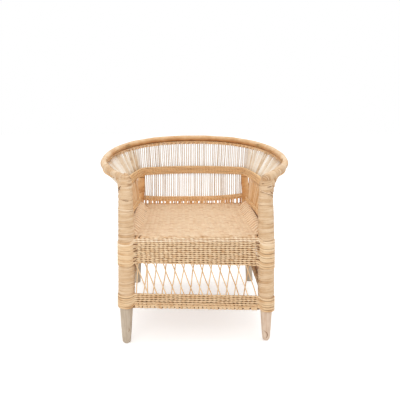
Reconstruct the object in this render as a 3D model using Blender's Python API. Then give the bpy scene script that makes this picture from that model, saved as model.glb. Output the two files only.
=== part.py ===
"""A child's cane armchair.

Four wooden poles carry a woven seat, a bent top rail and panels of fine cane stakes held by woven bands.
The chair stands on the XY plane, faces -Y and is centred on the Z axis. Lengths are in metres.
"""

import math

import bmesh
import bpy
import numpy as np
from mathutils import Vector

# Fits
GAP = 0.0003                        # between two pieces that touch
SOCKET_CLEARANCE = 0.0003           # round a tenon in its socket

# Front legs
FRONT_FOOT_HALF_SPACING = 0.177     # leg centre to the chair's middle, at the floor
FRONT_TOP_HALF_SPACING = 0.1655     # the same under the rail
FRONT_LEG_RADIUS = 0.015
FRONT_FOOT_RADIUS = 0.0105
FRONT_WRAP = 0.0050                 # thickness of the cane wound on a front leg
FOOT_TAPER_HEIGHT = 0.09            # a front foot widens up to here
FOOT_CHAMFER = 0.0015

# Rear legs
REAR_FOOT_HALF_SPACING = 0.1885
REAR_TOP_HALF_SPACING = 0.1625
REAR_FOOT_DEPTH = 0.401             # behind the front legs, at the floor
REAR_TOP_DEPTH = 0.375              # the same at the top of the post
REAR_FOOT_RADIUS = 0.0107
REAR_TOP_RADIUS = 0.007
REAR_WRAP = 0.002

# Top rail
ARM_HEIGHT = 0.418                  # rail centre over the front legs
BACK_HEIGHT = 0.4765                # rail centre at the middle of the back
RAIL_BACK_DEPTH = 0.42              # rail centre behind the front legs, at the middle of the back
RAIL_HALF_WIDTH = 0.241
RAIL_WIDEST_DEPTH = 0.165           # where the arms are widest, behind the front legs
RAIL_BACK_SQUARENESS = 2.25         # 2 would make the back of the rail a plain ellipse
RAIL_CORE_RADIUS = 0.0070
RAIL_RADIUS = 0.0088                # with its binding
RAIL_OVERHANG = 0.008               # the core's end, past the middle of the leg
SADDLE_DEPTH = 0.005                # how deep the core lies in the leg's top
LASHING_DEPTH = 0.060               # the lashing starts this far below the rail's centre
LASHING_REACH = 0.05                # how far along the rail it goes
LASHING_CROWN = 0.013               # how far above the rail's centre
LASHING_NECK_RADIUS = 0.012         # round the rail, at the leg
LASHING_END_RADIUS = 0.0102

# Woven bands
RAIL_BAND_START = 0.065             # along the rail, from the leg
RAIL_BAND_HEIGHT = 0.009
RAIL_BAND_THICKNESS = 0.008
MID_FRONT_DROP = 0.048              # middle band's centre below the rail's, at the front legs
MID_BACK_DROP = 0.1065              # the same at the posts
MID_BAND_HEIGHT = 0.018
MID_BAND_THICKNESS = 0.012
MID_SIDE_BOW = 0.0245               # the band swells out this far between a front leg and a post
MID_BACK_BOW = 0.035                # the band's middle lies this far behind the posts
MID_BACK_RISE = 0.007               # and this far above its place on them
MID_CORNER_RUN = 0.021              # length of the rounded corner on each side of a post
MID_STAKE_START = 0.040             # first stake behind the front leg's centre
MID_HOOP_RADIUS = 0.0035
SEAT_BAND_LIFT = 0.007              # between the seat and the band above it
SEAT_BAND_HEIGHT = 0.015
SEAT_BAND_THICKNESS = 0.009

# Stakes
STAKE_THICKNESS = 0.0026
STAKE_WIDTH = 0.0028
WEB_HEIGHT = 0.003                  # the bar that holds the stakes' ends inside a band
SIDE_SEGMENTS = 5
CORNER_SEGMENTS = 3
BACK_HALF_SEGMENTS = 4
STAKES_PER_SIDE_SEGMENT = 4
STAKES_PER_CORNER_SEGMENT = 1
STAKES_PER_BACK_SEGMENT = 4
PEGS = 8                            # short stakes under each seat band
PEG_WIDTH = 0.003

# Seat
SEAT_HEIGHT = 0.279                 # top of the seat at the front rail
SEAT_DROP = 0.011                   # how much lower it is at the back rail
MAT_THICKNESS = 0.005
MAT_LAP = 0.0005                    # the sideways layer is this much thinner on each face
SEAT_SAG = 0.003                    # how far the mat's middle hangs below its front and back
SAG_STEPS = 4
SEAT_ROWS = 82                      # rows of the weave, each a low rib
RIB_DEPTH = 0.001
BOLSTER_RISE = 0.003                # the rolled sides stand this far above the mat
BOLSTER_WIDTH = 0.020               # from a side rail's centre in to the mat
SEAT_RAIL_RADIUS = 0.0075
TENON_RADIUS = 0.0045
FRONT_TENON_STOP = 0.0065           # a tenon's end, from a front leg's axis
REAR_TENON_STOP = 0.0052

# Skirt below the seat
FRONT_OUTSET = 0.005                # of the skirt's middle from the front legs' centres
REAR_OUTSET = 0.003
APRON_THICKNESS = 0.009
APRON_BOTTOM = 0.207
BAND_TOP = 0.1295
BAND_THICKNESS = 0.009
STRETCHER_HEIGHT = 0.0985
STRETCHER_RADIUS = 0.0055
STRETCHER_COVER = 0.0030            # weave round the stretcher
STRAND_WIDTH = 0.0030
STRAND_THICKNESS = 0.0022
FRONT_LATTICE_PITCH = 0.0235        # between two crossings
OTHER_LATTICE_PITCH = 0.035         # the same at the sides and the back
LATTICE_UPPER_DROP = 0.015          # upper crossings, below the apron
LATTICE_LOWER_RISE = 0.0265         # lower crossings, above the band
LATTICE_SKEW = 0.75                 # share of the pitch that one strand of a pair takes between crossings
SMALLEST_CELL = 6e-6                # square metres

# Windings on the front legs
CUFF_HALF_HEIGHT = 0.0075           # the cuffs that the tenons pass through
LOWER_TURNS = 6
UPPER_TURNS = 4
POINTS_PER_TURN = 20
TURN_GAP = 0.0008
STRIP_BEVEL = 0.0016

# How finely round shapes are divided
RAIL_CURVE_STEPS = 120
ROLL_STEPS = 3
BULGE_STEPS = 6
DOME_STEPS = 3
DOME_END = math.radians(66)         # where the lashing's dome ends in a flat
LEG_SIDES = 12
ROD_SIDES = 8
RAIL_SIDES = 8
HOOP_SIDES = 6

UP = Vector((0, 0, 1))
FRONT_WRAP_RADIUS = FRONT_LEG_RADIUS + FRONT_WRAP
FRONT_Y = (FRONT_WRAP_RADIUS - RAIL_BACK_DEPTH - RAIL_RADIUS) / 2   # keeps the chair centred on Z
FRONT_LEG_TOP = ARM_HEIGHT - RAIL_CORE_RADIUS + SADDLE_DEPTH
MID_FRONT_HEIGHT = ARM_HEIGHT - MID_FRONT_DROP
MID_BACK_HEIGHT = BACK_HEIGHT - MID_BACK_DROP
REAR_LEG_TOP = MID_BACK_HEIGHT - MID_BAND_HEIGHT / 2 - GAP
LASHING_BOTTOM = ARM_HEIGHT - LASHING_DEPTH
SLOT_DEPTH = WEB_HEIGHT + GAP
SEAT_RAIL_FRONT = SEAT_HEIGHT - MAT_THICKNESS - GAP - SEAT_RAIL_RADIUS
BULGE_RADIUS = STRETCHER_RADIUS + GAP + STRETCHER_COVER


# Scene, materials and objects

def linear(level):
    return level / 12.92 if level <= 0.04045 else ((level + 0.055) / 1.055) ** 2.4


def material(name, red, green, blue, roughness):
    made = bpy.data.materials.new(name)
    made.use_nodes = True
    shader = made.node_tree.nodes["Principled BSDF"]
    colour = [linear(channel / 255) for channel in (red, green, blue)]
    shader.inputs["Base Color"].default_value = (*colour, 1)
    shader.inputs["Roughness"].default_value = roughness
    shader.inputs["Metallic"].default_value = 0
    return made


for old in list(bpy.data.objects):
    bpy.data.objects.remove(old)

POLE_WOOD = material("pole_wood", 214, 194, 168, 0.65)
HIDDEN_WOOD = material("hidden_wood", 186, 150, 108, 0.7)
WOUND_CANE = material("wound_cane", 226, 196, 152, 0.55)
RAIL_CANE = material("rail_cane", 216, 176, 124, 0.5)
BAND_CANE = material("band_cane", 208, 164, 108, 0.6)
SEAT_CANE = material("seat_cane", 236, 208, 166, 0.6)
SKIRT_CANE = material("skirt_cane", 220, 184, 134, 0.6)
STAKE_CANE = material("stake_cane", 238, 222, 200, 0.5)

chair = bpy.data.objects.new("childs_cane_chair", None)
bpy.context.scene.collection.objects.link(chair)


def mesh_object(name, points, faces, finish):
    """A closed mesh with its faces turned outwards, parented to the chair."""
    work = bmesh.new()
    corners = [work.verts.new(point) for point in points]
    for face in faces:
        work.faces.new([corners[i] for i in face])
    bmesh.ops.recalc_face_normals(work, faces=work.faces[:])
    mesh = bpy.data.meshes.new(name)
    work.to_mesh(mesh)
    work.free()
    mesh.shade_smooth()
    mesh.set_sharp_from_angle(angle=math.radians(40))
    made = bpy.data.objects.new(name, mesh)
    if finish is not None:
        mesh.materials.append(finish)
    bpy.context.scene.collection.objects.link(made)
    made.parent = chair
    return made


def helper(name, points, faces):
    """A cutter or an addition for a Boolean, which isn't a piece of the chair."""
    made = mesh_object(name, points, faces, None)
    made.hide_render = True
    made.display_type = "WIRE"
    return made


def combine(piece, other, operation):
    step = piece.modifiers.new(other.name, "BOOLEAN")
    step.operation = operation
    step.solver = "EXACT"
    step.object = other


def cut(piece, *cutters):
    for cutter in cutters:
        combine(piece, cutter, "DIFFERENCE")


# Shapes

def circle(radius, sides):
    turns = [2 * math.pi * i / sides for i in range(sides)]
    return [(radius * math.cos(turn), radius * math.sin(turn)) for turn in turns]


def around(radius, sides):
    """The corner radius of a polygon whose flats clear a circle of this radius."""
    return radius / math.cos(math.pi / sides)


def flat_ring(centre, radius, sides):
    return [centre + Vector((x, y, 0)) for x, y in circle(radius, sides)]


def square_ring(centre, direction, radius, sides):
    """A round ring square to a direction that isn't vertical."""
    side = direction.cross(UP).normalized()
    rise = side.cross(direction).normalized()
    return [centre + side * u + rise * v for u, v in circle(radius, sides)]


def loft(rings):
    """Points and faces of a closed solid through rings of equal size, with flat ends."""
    size = len(rings[0])
    points = [point for ring in rings for point in ring]
    faces = []
    for base in range(0, size * (len(rings) - 1), size):
        for i in range(size):
            after = (i + 1) % size
            faces.append((base + i, base + after, base + size + after, base + size + i))
    faces.append(tuple(range(size)))
    faces.append(tuple(range(len(points) - size, len(points))))
    return points, faces


def sleeve(outer, inner):
    """Points and faces of a tube between two sets of rings of equal size, open at both ends."""
    size = len(outer[0])
    outer_points, outer_faces = loft(outer)
    inner_points, inner_faces = loft(inner)
    shift = len(outer_points)
    faces = outer_faces[:-2]
    faces += [tuple(i + shift for i in face) for face in inner_faces[:-2]]
    for base in (0, shift - size):
        for i in range(size):
            after = (i + 1) % size
            faces.append((base + i, base + after, base + shift + after, base + shift + i))
    return outer_points + inner_points, faces


def outward(start, end):
    """Horizontal and away from the chair, for a line that runs anticlockwise seen from above."""
    return (end - start).cross(UP).normalized()


def side_vectors(path):
    """Outward vectors at each point, lengthened at bends so that a mitred section keeps its width."""
    normals = [outward(a, b) for a, b in zip(path, path[1:])]
    vectors = []
    for i in range(len(path)):
        before = normals[max(i - 1, 0)]
        after = normals[min(i, len(normals) - 1)]
        middle = (before + after).normalized()
        vectors.append(middle / middle.dot(after))
    return vectors


def swept_rings(path, outline):
    sides = side_vectors(path)
    return [[p + side * u + UP * v for u, v in outline] for p, side in zip(path, sides)]


def swept(path, outline):
    return loft(swept_rings(path, outline))


def lifted(path, rise):
    return [point + UP * rise for point in path]


def trimmed(start, end, start_trim, end_trim):
    run = (end - start).normalized()
    return start + run * start_trim, end - run * end_trim


def lengths_along(path):
    steps = [(b - a).length for a, b in zip(path, path[1:])]
    return np.concatenate([[0], np.cumsum(steps)])


def mirrored(point):
    return Vector((-point.x, point.y, point.z))


# Legs

class Leg:
    """A straight leaning pole, with the cane wound on it."""

    def __init__(self, name, side, foot, top, profile, wrap, tenon_stop, outset):
        self.name = name
        self.foot = Vector((side * foot[0], foot[1], 0))
        self.top = Vector((side * top[0], top[1], top[2]))
        self.heights = [height for height, _ in profile]
        self.radii = [radius for _, radius in profile]
        self.wrap = wrap
        self.tenon_stop = tenon_stop
        self.outset = outset
        self.is_front = top[1] == foot[1]
        self.lean = (self.top - self.foot).xy.length / self.top.z

    def at(self, height):
        return self.foot + (self.top - self.foot) * (height / self.top.z)

    def radius(self, height):
        return float(np.interp(height, self.heights, self.radii))

    def wrap_radius(self, height):
        return self.radius(height) + self.wrap

    def rings(self, heights, extra, sides=LEG_SIDES):
        return [flat_ring(self.at(z), self.radius(z) + extra, sides) for z in heights]

    def solid(self):
        return mesh_object(self.name, *loft(self.rings(self.heights, 0)), POLE_WOOD)

    def clearance(self, name, low, high, extra):
        """A cutter that clears this leg, grown by extra, by the usual gap."""
        heights = [low, *[z for z in self.heights if low < z < high], high]
        grown = [(z, around(self.radius(z) + extra + GAP, LEG_SIDES)) for z in heights]
        return helper(name, *loft([flat_ring(self.at(z), r, LEG_SIDES) for z, r in grown]))

    def seat_rail_height(self):
        return SEAT_RAIL_FRONT if self.is_front else SEAT_RAIL_FRONT - SEAT_DROP

    def seat_top(self):
        return self.seat_rail_height() + SEAT_RAIL_RADIUS + GAP + MAT_THICKNESS


def front_leg(side_name, side):
    profile = [
        (0, FRONT_FOOT_RADIUS - FOOT_CHAMFER),
        (FOOT_CHAMFER, FRONT_FOOT_RADIUS),
        (FOOT_TAPER_HEIGHT, FRONT_LEG_RADIUS),
        (FRONT_LEG_TOP, FRONT_LEG_RADIUS),
    ]
    foot = (FRONT_FOOT_HALF_SPACING, FRONT_Y)
    top = (FRONT_TOP_HALF_SPACING, FRONT_Y, FRONT_LEG_TOP)
    name = f"front_leg_{side_name}"
    return Leg(name, side, foot, top, profile, FRONT_WRAP, FRONT_TENON_STOP, FRONT_OUTSET)


def rear_leg(side_name, side):
    profile = [
        (0, REAR_FOOT_RADIUS - FOOT_CHAMFER),
        (FOOT_CHAMFER, REAR_FOOT_RADIUS),
        (REAR_LEG_TOP, REAR_TOP_RADIUS),
    ]
    foot = (REAR_FOOT_HALF_SPACING, FRONT_Y + REAR_FOOT_DEPTH)
    top = (REAR_TOP_HALF_SPACING, FRONT_Y + REAR_TOP_DEPTH, REAR_LEG_TOP)
    name = f"rear_leg_{side_name}"
    return Leg(name, side, foot, top, profile, REAR_WRAP, REAR_TENON_STOP, REAR_OUTSET)


FRONT_LEFT = front_leg("left", -1)
FRONT_RIGHT = front_leg("right", 1)
REAR_LEFT = rear_leg("left", -1)
REAR_RIGHT = rear_leg("right", 1)
LEGS = (FRONT_LEFT, FRONT_RIGHT, REAR_LEFT, REAR_RIGHT)
FRONT_LEGS = {"left": FRONT_LEFT, "right": FRONT_RIGHT}
REAR_LEGS = {"left": REAR_LEFT, "right": REAR_RIGHT}

# The four sides, each from leg to leg, anticlockwise seen from above
SIDES = {
    "front": (FRONT_LEFT, FRONT_RIGHT),
    "right": (FRONT_RIGHT, REAR_RIGHT),
    "back": (REAR_RIGHT, REAR_LEFT),
    "left": (REAR_LEFT, FRONT_LEFT),
}

poles = {leg.name: leg.solid() for leg in LEGS}

# What the wound legs need clear of them: fronts up past the arm, rears up to the middle band
WRAP_BOTTOM = STRETCHER_HEIGHT - CUFF_HALF_HEIGHT
wrap_cutters = {}
for leg in LEGS:
    cutter_top = ARM_HEIGHT + RAIL_RADIUS if leg.is_front else REAR_LEG_TOP - GAP
    cutter_bottom = WRAP_BOTTOM - BULGE_RADIUS
    name = f"{leg.name}_wrap_clearance"
    wrap_cutters[leg.name] = leg.clearance(name, cutter_bottom, cutter_top, leg.wrap)


def side_line(side, height_of, outset=True):
    """The line along one side, from leg axis to leg axis at each leg's own height."""
    first, second = SIDES[side]
    start = first.at(height_of(first))
    end = second.at(height_of(second))
    away = outward(start, end)
    if outset:
        start += away * first.outset
        end += away * second.outset
    return start, end


def between_wraps(side, line, half_height, spare=0.0):
    """The part of a line between the wound legs, for a piece that reaches half_height above and below it."""
    first, second = SIDES[side]
    start, end = line
    start_trim = first.wrap_radius(start.z) + GAP + half_height * first.lean + spare
    end_trim = second.wrap_radius(end.z) + GAP + half_height * second.lean + spare
    return trimmed(start, end, start_trim, end_trim)


def cut_clear_of_legs(piece, side):
    for leg in SIDES[side]:
        cut(piece, wrap_cutters[leg.name])


# Seat rails and stretchers

tenon_cutters = {leg.name: [] for leg in LEGS}
stretcher_bores = {}


def rod(name, side, line, radius):
    """A round rod from leg to leg, with a thinner tenon at each end, and its sockets."""
    first, second = SIDES[side]
    start, end = line
    run = (end - start).normalized()
    tenon_ends = trimmed(start, end, first.tenon_stop, second.tenon_stop)
    shoulders = between_wraps(side, line, radius)
    stations = [
        (tenon_ends[0], TENON_RADIUS),
        (shoulders[0], TENON_RADIUS),
        (shoulders[0], radius),
        (shoulders[1], radius),
        (shoulders[1], TENON_RADIUS),
        (tenon_ends[1], TENON_RADIUS),
    ]
    rings = [square_ring(centre, run, size, ROD_SIDES) for centre, size in stations]
    mesh_object(name, *loft(rings), HIDDEN_WOOD)
    socket_radius = around(TENON_RADIUS + SOCKET_CLEARANCE, ROD_SIDES)
    socket_ends = trimmed(start, end, first.tenon_stop - GAP, second.tenon_stop - GAP)
    socket_rings = [square_ring(centre, run, socket_radius, ROD_SIDES) for centre in socket_ends]
    socket = helper(f"{name}_socket", *loft(socket_rings))
    for leg in (first, second):
        tenon_cutters[leg.name].append(socket)
        cut(poles[leg.name], socket)


for side in SIDES:
    rail_line = side_line(side, Leg.seat_rail_height, outset=False)
    rod(f"seat_rail_{side}", side, rail_line, SEAT_RAIL_RADIUS)
    stretcher_line = side_line(side, lambda leg: STRETCHER_HEIGHT)
    rod(f"stretcher_{side}", side, stretcher_line, STRETCHER_RADIUS)
    bore_run = (stretcher_line[1] - stretcher_line[0]).normalized()
    bore_radius = around(STRETCHER_RADIUS + GAP, ROD_SIDES)
    bore_rings = [square_ring(point, bore_run, bore_radius, ROD_SIDES) for point in stretcher_line]
    stretcher_bores[side] = helper(f"stretcher_{side}_bore", *loft(bore_rings))


# Top rail and middle hoop

def rail_height(depth):
    return ARM_HEIGHT + (BACK_HEIGHT - ARM_HEIGHT) * depth / RAIL_BACK_DEPTH


def rail_point(across, depth):
    return Vector((across, FRONT_Y + depth, rail_height(depth)))


def rail_half_curve():
    """The rail's right half: a quarter sine out from the leg, then a squarish quarter round the back."""
    arm_swell = RAIL_HALF_WIDTH - FRONT_TOP_HALF_SPACING
    back_reach = RAIL_BACK_DEPTH - RAIL_WIDEST_DEPTH
    curve = []
    for i in range(RAIL_CURVE_STEPS):
        share = i / RAIL_CURVE_STEPS
        across = FRONT_TOP_HALF_SPACING + arm_swell * math.sin(math.pi / 2 * share)
        curve.append(rail_point(across, RAIL_WIDEST_DEPTH * share))
    power = 2 / RAIL_BACK_SQUARENESS
    for i in range(RAIL_CURVE_STEPS + 1):
        turn = math.pi / 2 * i / RAIL_CURVE_STEPS
        across = RAIL_HALF_WIDTH * max(math.cos(turn), 0) ** power
        curve.append(rail_point(across, RAIL_WIDEST_DEPTH + back_reach * math.sin(turn) ** power))
    return curve


RAIL_CURVE = rail_half_curve()
RAIL_LENGTHS = lengths_along(RAIL_CURVE)


def along_rail(distance):
    """A point on the rail's right half, at a distance from the leg."""
    place = [np.interp(distance, RAIL_LENGTHS, [p[axis] for p in RAIL_CURVE]) for axis in range(3)]
    return Vector(place)


def middle_half_path():
    """The middle band's right half: swelling side, rounded corner over the post, bowed back."""
    front = Vector((FRONT_RIGHT.at(MID_FRONT_HEIGHT).x, FRONT_Y, MID_FRONT_HEIGHT))
    post = Vector((REAR_RIGHT.top.x, REAR_RIGHT.top.y, MID_BACK_HEIGHT))
    length = (post - front).length
    side_end = length - MID_CORNER_RUN
    side = []
    for i in range(SIDE_SEGMENTS + 1):
        share = (MID_STAKE_START + (side_end - MID_STAKE_START) * i / SIDE_SEGMENTS) / length
        swell = Vector((MID_SIDE_BOW * math.sin(math.pi * share), 0, 0))
        side.append(front.lerp(post, share) + swell)
    back = []
    for i in range(BACK_HALF_SEGMENTS + 1):
        across = (post.x - MID_CORNER_RUN) * (1 - i / BACK_HALF_SEGMENTS)
        arch = 1 - (across / post.x) ** 2
        height = MID_BACK_HEIGHT + MID_BACK_RISE * arch
        back.append(Vector((across, post.y + MID_BACK_BOW * arch, height)))
    corner = []
    for i in range(1, CORNER_SEGMENTS):
        share = i / CORNER_SEGMENTS
        corner.append(side[-1].lerp(post, share).lerp(post.lerp(back[0], share), share))
    return front, side + corner + back


def both_halves(half):
    """A path from the right front leg round the back to the left one. The half ends in the middle."""
    return half + [mirrored(point) for point in reversed(half[:-1])]


MID_FRONT, MID_HALF = middle_half_path()
MID_PATH = both_halves(MID_HALF)
POST_INDEX = SIDE_SEGMENTS + CORNER_SEGMENTS // 2 + 1


def matched_rail_half():
    """Rail points that lie over the middle band's points, with the rail's post point over the rear post."""
    mid = lengths_along(MID_HALF)
    post_across = REAR_TOP_HALF_SPACING
    behind_widest = [i for i, p in enumerate(RAIL_CURVE) if p.y - FRONT_Y > RAIL_WIDEST_DEPTH]
    over_post = min(behind_widest, key=lambda i: abs(RAIL_CURVE[i].x - post_across))
    known_mid = [0, mid[POST_INDEX], mid[-1]]
    known_rail = [RAIL_BAND_START, RAIL_LENGTHS[over_post], RAIL_LENGTHS[-1]]
    return [along_rail(float(np.interp(length, known_mid, known_rail))) for length in mid]


RAIL_HALF = matched_rail_half()
RAIL_PATH = both_halves(RAIL_HALF)
RAIL_SEAT = along_rail(0)
RAIL_END = RAIL_SEAT - (along_rail(RAIL_OVERHANG) - RAIL_SEAT)

# Stretches of both paths, as indices of their points
LAST = len(MID_PATH) - 1
SIDE_END = SIDE_SEGMENTS
BACK_START = SIDE_SEGMENTS + CORNER_SEGMENTS


def top_rail():
    """The bent core, its binding, and the saddles that it lies in."""
    core_half = [RAIL_END, RAIL_SEAT, along_rail(LASHING_REACH)] + RAIL_HALF
    core_path = both_halves(core_half)
    mesh_object("top_rail", *swept(core_path, circle(RAIL_CORE_RADIUS, RAIL_SIDES)), HIDDEN_WOOD)
    clear_radius = around(RAIL_CORE_RADIUS + GAP, RAIL_SIDES)
    saddle = helper("top_rail_clearance", *swept(core_path, circle(clear_radius, RAIL_SIDES)))
    bound_path = both_halves([along_rail(LASHING_REACH + GAP)] + RAIL_HALF)
    outer = swept_rings(bound_path, circle(RAIL_RADIUS, RAIL_SIDES))
    inner = swept_rings(bound_path, circle(clear_radius, RAIL_SIDES))
    mesh_object("top_rail_binding", *sleeve(outer, inner), RAIL_CANE)
    return saddle


rail_saddle = top_rail()


def middle_hoop():
    """The thin bent rod inside the middle band, with its ends in the front legs."""
    stop = Vector((0, FRONT_TENON_STOP, 0))
    hoop_path = both_halves([MID_FRONT + stop] + MID_HALF)
    mesh_object("middle_hoop", *swept(hoop_path, circle(MID_HOOP_RADIUS, HOOP_SIDES)), HIDDEN_WOOD)
    clear_path = both_halves([MID_FRONT + stop - Vector((0, GAP, 0))] + MID_HALF)
    clear_radius = around(MID_HOOP_RADIUS + SOCKET_CLEARANCE, HOOP_SIDES)
    return helper("middle_hoop_socket", *swept(clear_path, circle(clear_radius, HOOP_SIDES)))


hoop_socket = middle_hoop()
for leg in FRONT_LEGS.values():
    cut(poles[leg.name], rail_saddle, hoop_socket)


# Woven bands round the back and arms

def slotted_outline(height, thickness, inside, slot_top, slot_bottom):
    """A band's section about its centre, with a slot for the bar of the stakes above, below or both."""
    half = thickness / 2
    slot = inside / 2 + GAP
    top = height / 2
    outline = [(half, -top), (half, top)]
    if slot_top:
        outline += [(slot, top), (slot, top - SLOT_DEPTH), (-slot, top - SLOT_DEPTH), (-slot, top)]
    outline += [(-half, top), (-half, -top)]
    if slot_bottom:
        outline += [(-slot, -top), (-slot, SLOT_DEPTH - top), (slot, SLOT_DEPTH - top), (slot, -top)]
    return outline


RAIL_BAND_CENTRE = -RAIL_RADIUS - GAP - RAIL_BAND_HEIGHT / 2    # from the rail's centre


def rail_band():
    outline = slotted_outline(RAIL_BAND_HEIGHT, RAIL_BAND_THICKNESS, STAKE_THICKNESS, False, True)
    mesh_object("rail_band", *swept(lifted(RAIL_PATH, RAIL_BAND_CENTRE), outline), BAND_CANE)


def middle_band():
    outline = slotted_outline(MID_BAND_HEIGHT, MID_BAND_THICKNESS, STAKE_THICKNESS, True, True)
    band = mesh_object("middle_band", *swept(both_halves([MID_FRONT] + MID_HALF), outline), BAND_CANE)
    cut(band, hoop_socket)
    for leg in FRONT_LEGS.values():
        cut(band, wrap_cutters[leg.name])


def seat_band_line(side):
    """The centre line of a seat band, from leg axis to leg axis."""
    rise = SEAT_BAND_LIFT + SEAT_BAND_HEIGHT / 2
    return side_line(side, lambda leg: leg.seat_top() + rise, outset=False)


def seat_band(side):
    """A band above the seat's edge, standing on the ends of some stakes."""
    line = seat_band_line(side)
    outline = slotted_outline(SEAT_BAND_HEIGHT, SEAT_BAND_THICKNESS, STAKE_THICKNESS, True, False)
    band = mesh_object(f"seat_band_{side}", *swept(line, outline), BAND_CANE)
    start, end = between_wraps(side, line, SEAT_BAND_HEIGHT / 2)
    points = []
    faces = []
    half = PEG_WIDTH / 2
    square = [(half, half), (-half, half), (-half, -half), (half, -half)]
    away = outward(start, end)
    run = (end - start).normalized()
    seat_rise = 0 if side == "back" else BOLSTER_RISE
    foot = SEAT_BAND_HEIGHT / 2 + SEAT_BAND_LIFT - seat_rise - GAP
    head = SEAT_BAND_HEIGHT / 2 - WEB_HEIGHT
    for i in range(PEGS):
        centre = start.lerp(end, (i + 0.5) / PEGS)
        rings = [[centre - UP * drop + away * u + run * v for u, v in square] for drop in (foot, head)]
        peg_points, peg_faces = loft(rings)
        faces += [tuple(corner + len(points) for corner in face) for face in peg_faces]
        points += peg_points
    combine(band, helper(f"seat_band_{side}_pegs", points, faces), "UNION")
    cut_clear_of_legs(band, side)


rail_band()
middle_band()
for side in ("left", "back", "right"):
    seat_band(side)


# Stakes

def comb(name, low, high, counts):
    """Stakes between the edges of two bands, held by a bar in the slot of each.

    The edges have equally many points. A stake starts clear of the band's edge, so that it can lean.
    """
    points = []
    faces = []
    half = STAKE_THICKNESS / 2

    def add(point):
        points.append(point)
        return len(points) - 1

    def bar(path, other, way):
        """One bar, with its stakes above (1) or below (-1). Returns the stakes' (inner, outer) corners."""
        edges = []
        backs = []
        for point, opposite, away in zip(path, other, side_vectors(path)):
            stake = (opposite - point) * way
            lean = math.atan2(stake.dot(away.normalized()), stake.z)
            across = (away * math.cos(lean) - UP * math.sin(lean)) * half
            foot = point + UP * way * (abs(math.sin(lean)) * half + GAP)
            edges.append((foot - across, foot + across))
            back = point - UP * way * WEB_HEIGHT
            backs.append((back - away * half, back + away * half))
        near = [tuple(add(p) for p in edge) for edge in edges]
        far = [tuple(add(p) for p in edge) for edge in backs]
        feet = []
        for i, count in enumerate(counts):
            spare = STAKE_WIDTH / 2 / (path[i + 1] - path[i]).length
            shares = [(k + 0.5) / count + spare * end for k in range(count) for end in (-1, 1)]
            stops = [near[i]]
            for share in shares:
                stops.append(tuple(add(a.lerp(b, share)) for a, b in zip(edges[i], edges[i + 1])))
            stops.append(near[i + 1])
            feet += stops[1:-1]
            for a, b in zip(stops[0::2], stops[1::2]):
                faces.append((a[0], b[0], b[1], a[1]))
            for layer in (0, 1):
                faces.append((far[i][layer], far[i + 1][layer], *[stop[layer] for stop in reversed(stops)]))
            faces.append((far[i][0], far[i + 1][0], far[i + 1][1], far[i][1]))
        for end in (0, -1):
            faces.append((near[end][0], near[end][1], far[end][1], far[end][0]))
        return feet

    lower = bar(low, high, 1)
    upper = bar(high, low, -1)
    for k in range(0, len(lower), 2):
        a, b, c, d = lower[k], lower[k + 1], upper[k + 1], upper[k]
        faces.append((a[0], b[0], c[0], d[0]))
        faces.append((a[1], b[1], c[1], d[1]))
        faces.append((a[0], a[1], d[1], d[0]))
        faces.append((b[0], b[1], c[1], c[0]))
    mesh_object(name, points, faces, STAKE_CANE)


def with_ends_short(path):
    """The same path with both ends drawn in, so that two bars in one slot stay apart."""
    start, _ = trimmed(path[0], path[1], GAP, 0)
    _, end = trimmed(path[-2], path[-1], 0, GAP)
    return [start, *path[1:-1], end]


def spread(path, start, end):
    """Points on a straight line, spaced as the points of a path are."""
    lengths = lengths_along(path)
    return [start.lerp(end, float(length / lengths[-1])) for length in lengths]


def stake_counts(first, last):
    """How many stakes each segment of the middle path holds, between two of its points."""
    corner = range(SIDE_END, BACK_START)
    counts = []
    for i in range(first, last):
        mirror = min(i, LAST - 1 - i)
        if mirror < SIDE_END:
            counts.append(STAKES_PER_SIDE_SEGMENT)
        elif mirror in corner:
            counts.append(STAKES_PER_CORNER_SEGMENT)
        else:
            counts.append(STAKES_PER_BACK_SEGMENT)
    return counts


def upper_stakes(side, first, last):
    low = lifted(MID_PATH[first:last + 1], MID_BAND_HEIGHT / 2)
    high = lifted(RAIL_PATH[first:last + 1], RAIL_BAND_CENTRE - RAIL_BAND_HEIGHT / 2)
    comb(f"upper_stakes_{side}", with_ends_short(low), with_ends_short(high), stake_counts(first, last))


def lower_stakes(side, first, last):
    high = lifted(MID_PATH[first:last + 1], -MID_BAND_HEIGHT / 2)
    start, end = between_wraps(side, seat_band_line(side), SEAT_BAND_HEIGHT / 2, spare=STAKE_WIDTH)
    low = lifted(spread(high, start, end), SEAT_BAND_HEIGHT / 2)
    comb(f"lower_stakes_{side}", low, high, stake_counts(first, last))


upper_stakes("right", 0, SIDE_END)
upper_stakes("back", SIDE_END, LAST - SIDE_END)
upper_stakes("left", LAST - SIDE_END, LAST)
lower_stakes("right", 0, SIDE_END)
lower_stakes("back", BACK_START, LAST - BACK_START)
lower_stakes("left", LAST - SIDE_END, LAST)


# Seat

def rolled_section(half_span, low_radius, high_radius, roll_drop, heights, low_middle, high_middle):
    """A section that rolls over two rails, half_span to each side, as (across, height) points.

    The middles are the points of the lower and upper skins between the two rolls.
    """
    quarter = [math.pi / 2 * i / ROLL_STEPS for i in range(ROLL_STEPS + 1)]
    start_height, end_height = heights

    def skin(radius, middle):
        start = [(-half_span - radius, start_height - roll_drop)]
        start += [(-half_span - radius * math.cos(a), start_height + radius * math.sin(a)) for a in quarter]
        end = [(half_span + radius * math.sin(a), end_height + radius * math.cos(a)) for a in quarter]
        end.append((half_span + radius, end_height - roll_drop))
        return start + middle + end

    return skin(high_radius, high_middle) + skin(low_radius, low_middle)[::-1]


def sag(share):
    """How far the mat hangs, at a share of the way from the front rail to the back one."""
    stations = [i / SAG_STEPS for i in range(SAG_STEPS + 1)]
    return float(np.interp(share, stations, [4 * SEAT_SAG * s * (1 - s) for s in stations]))


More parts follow.
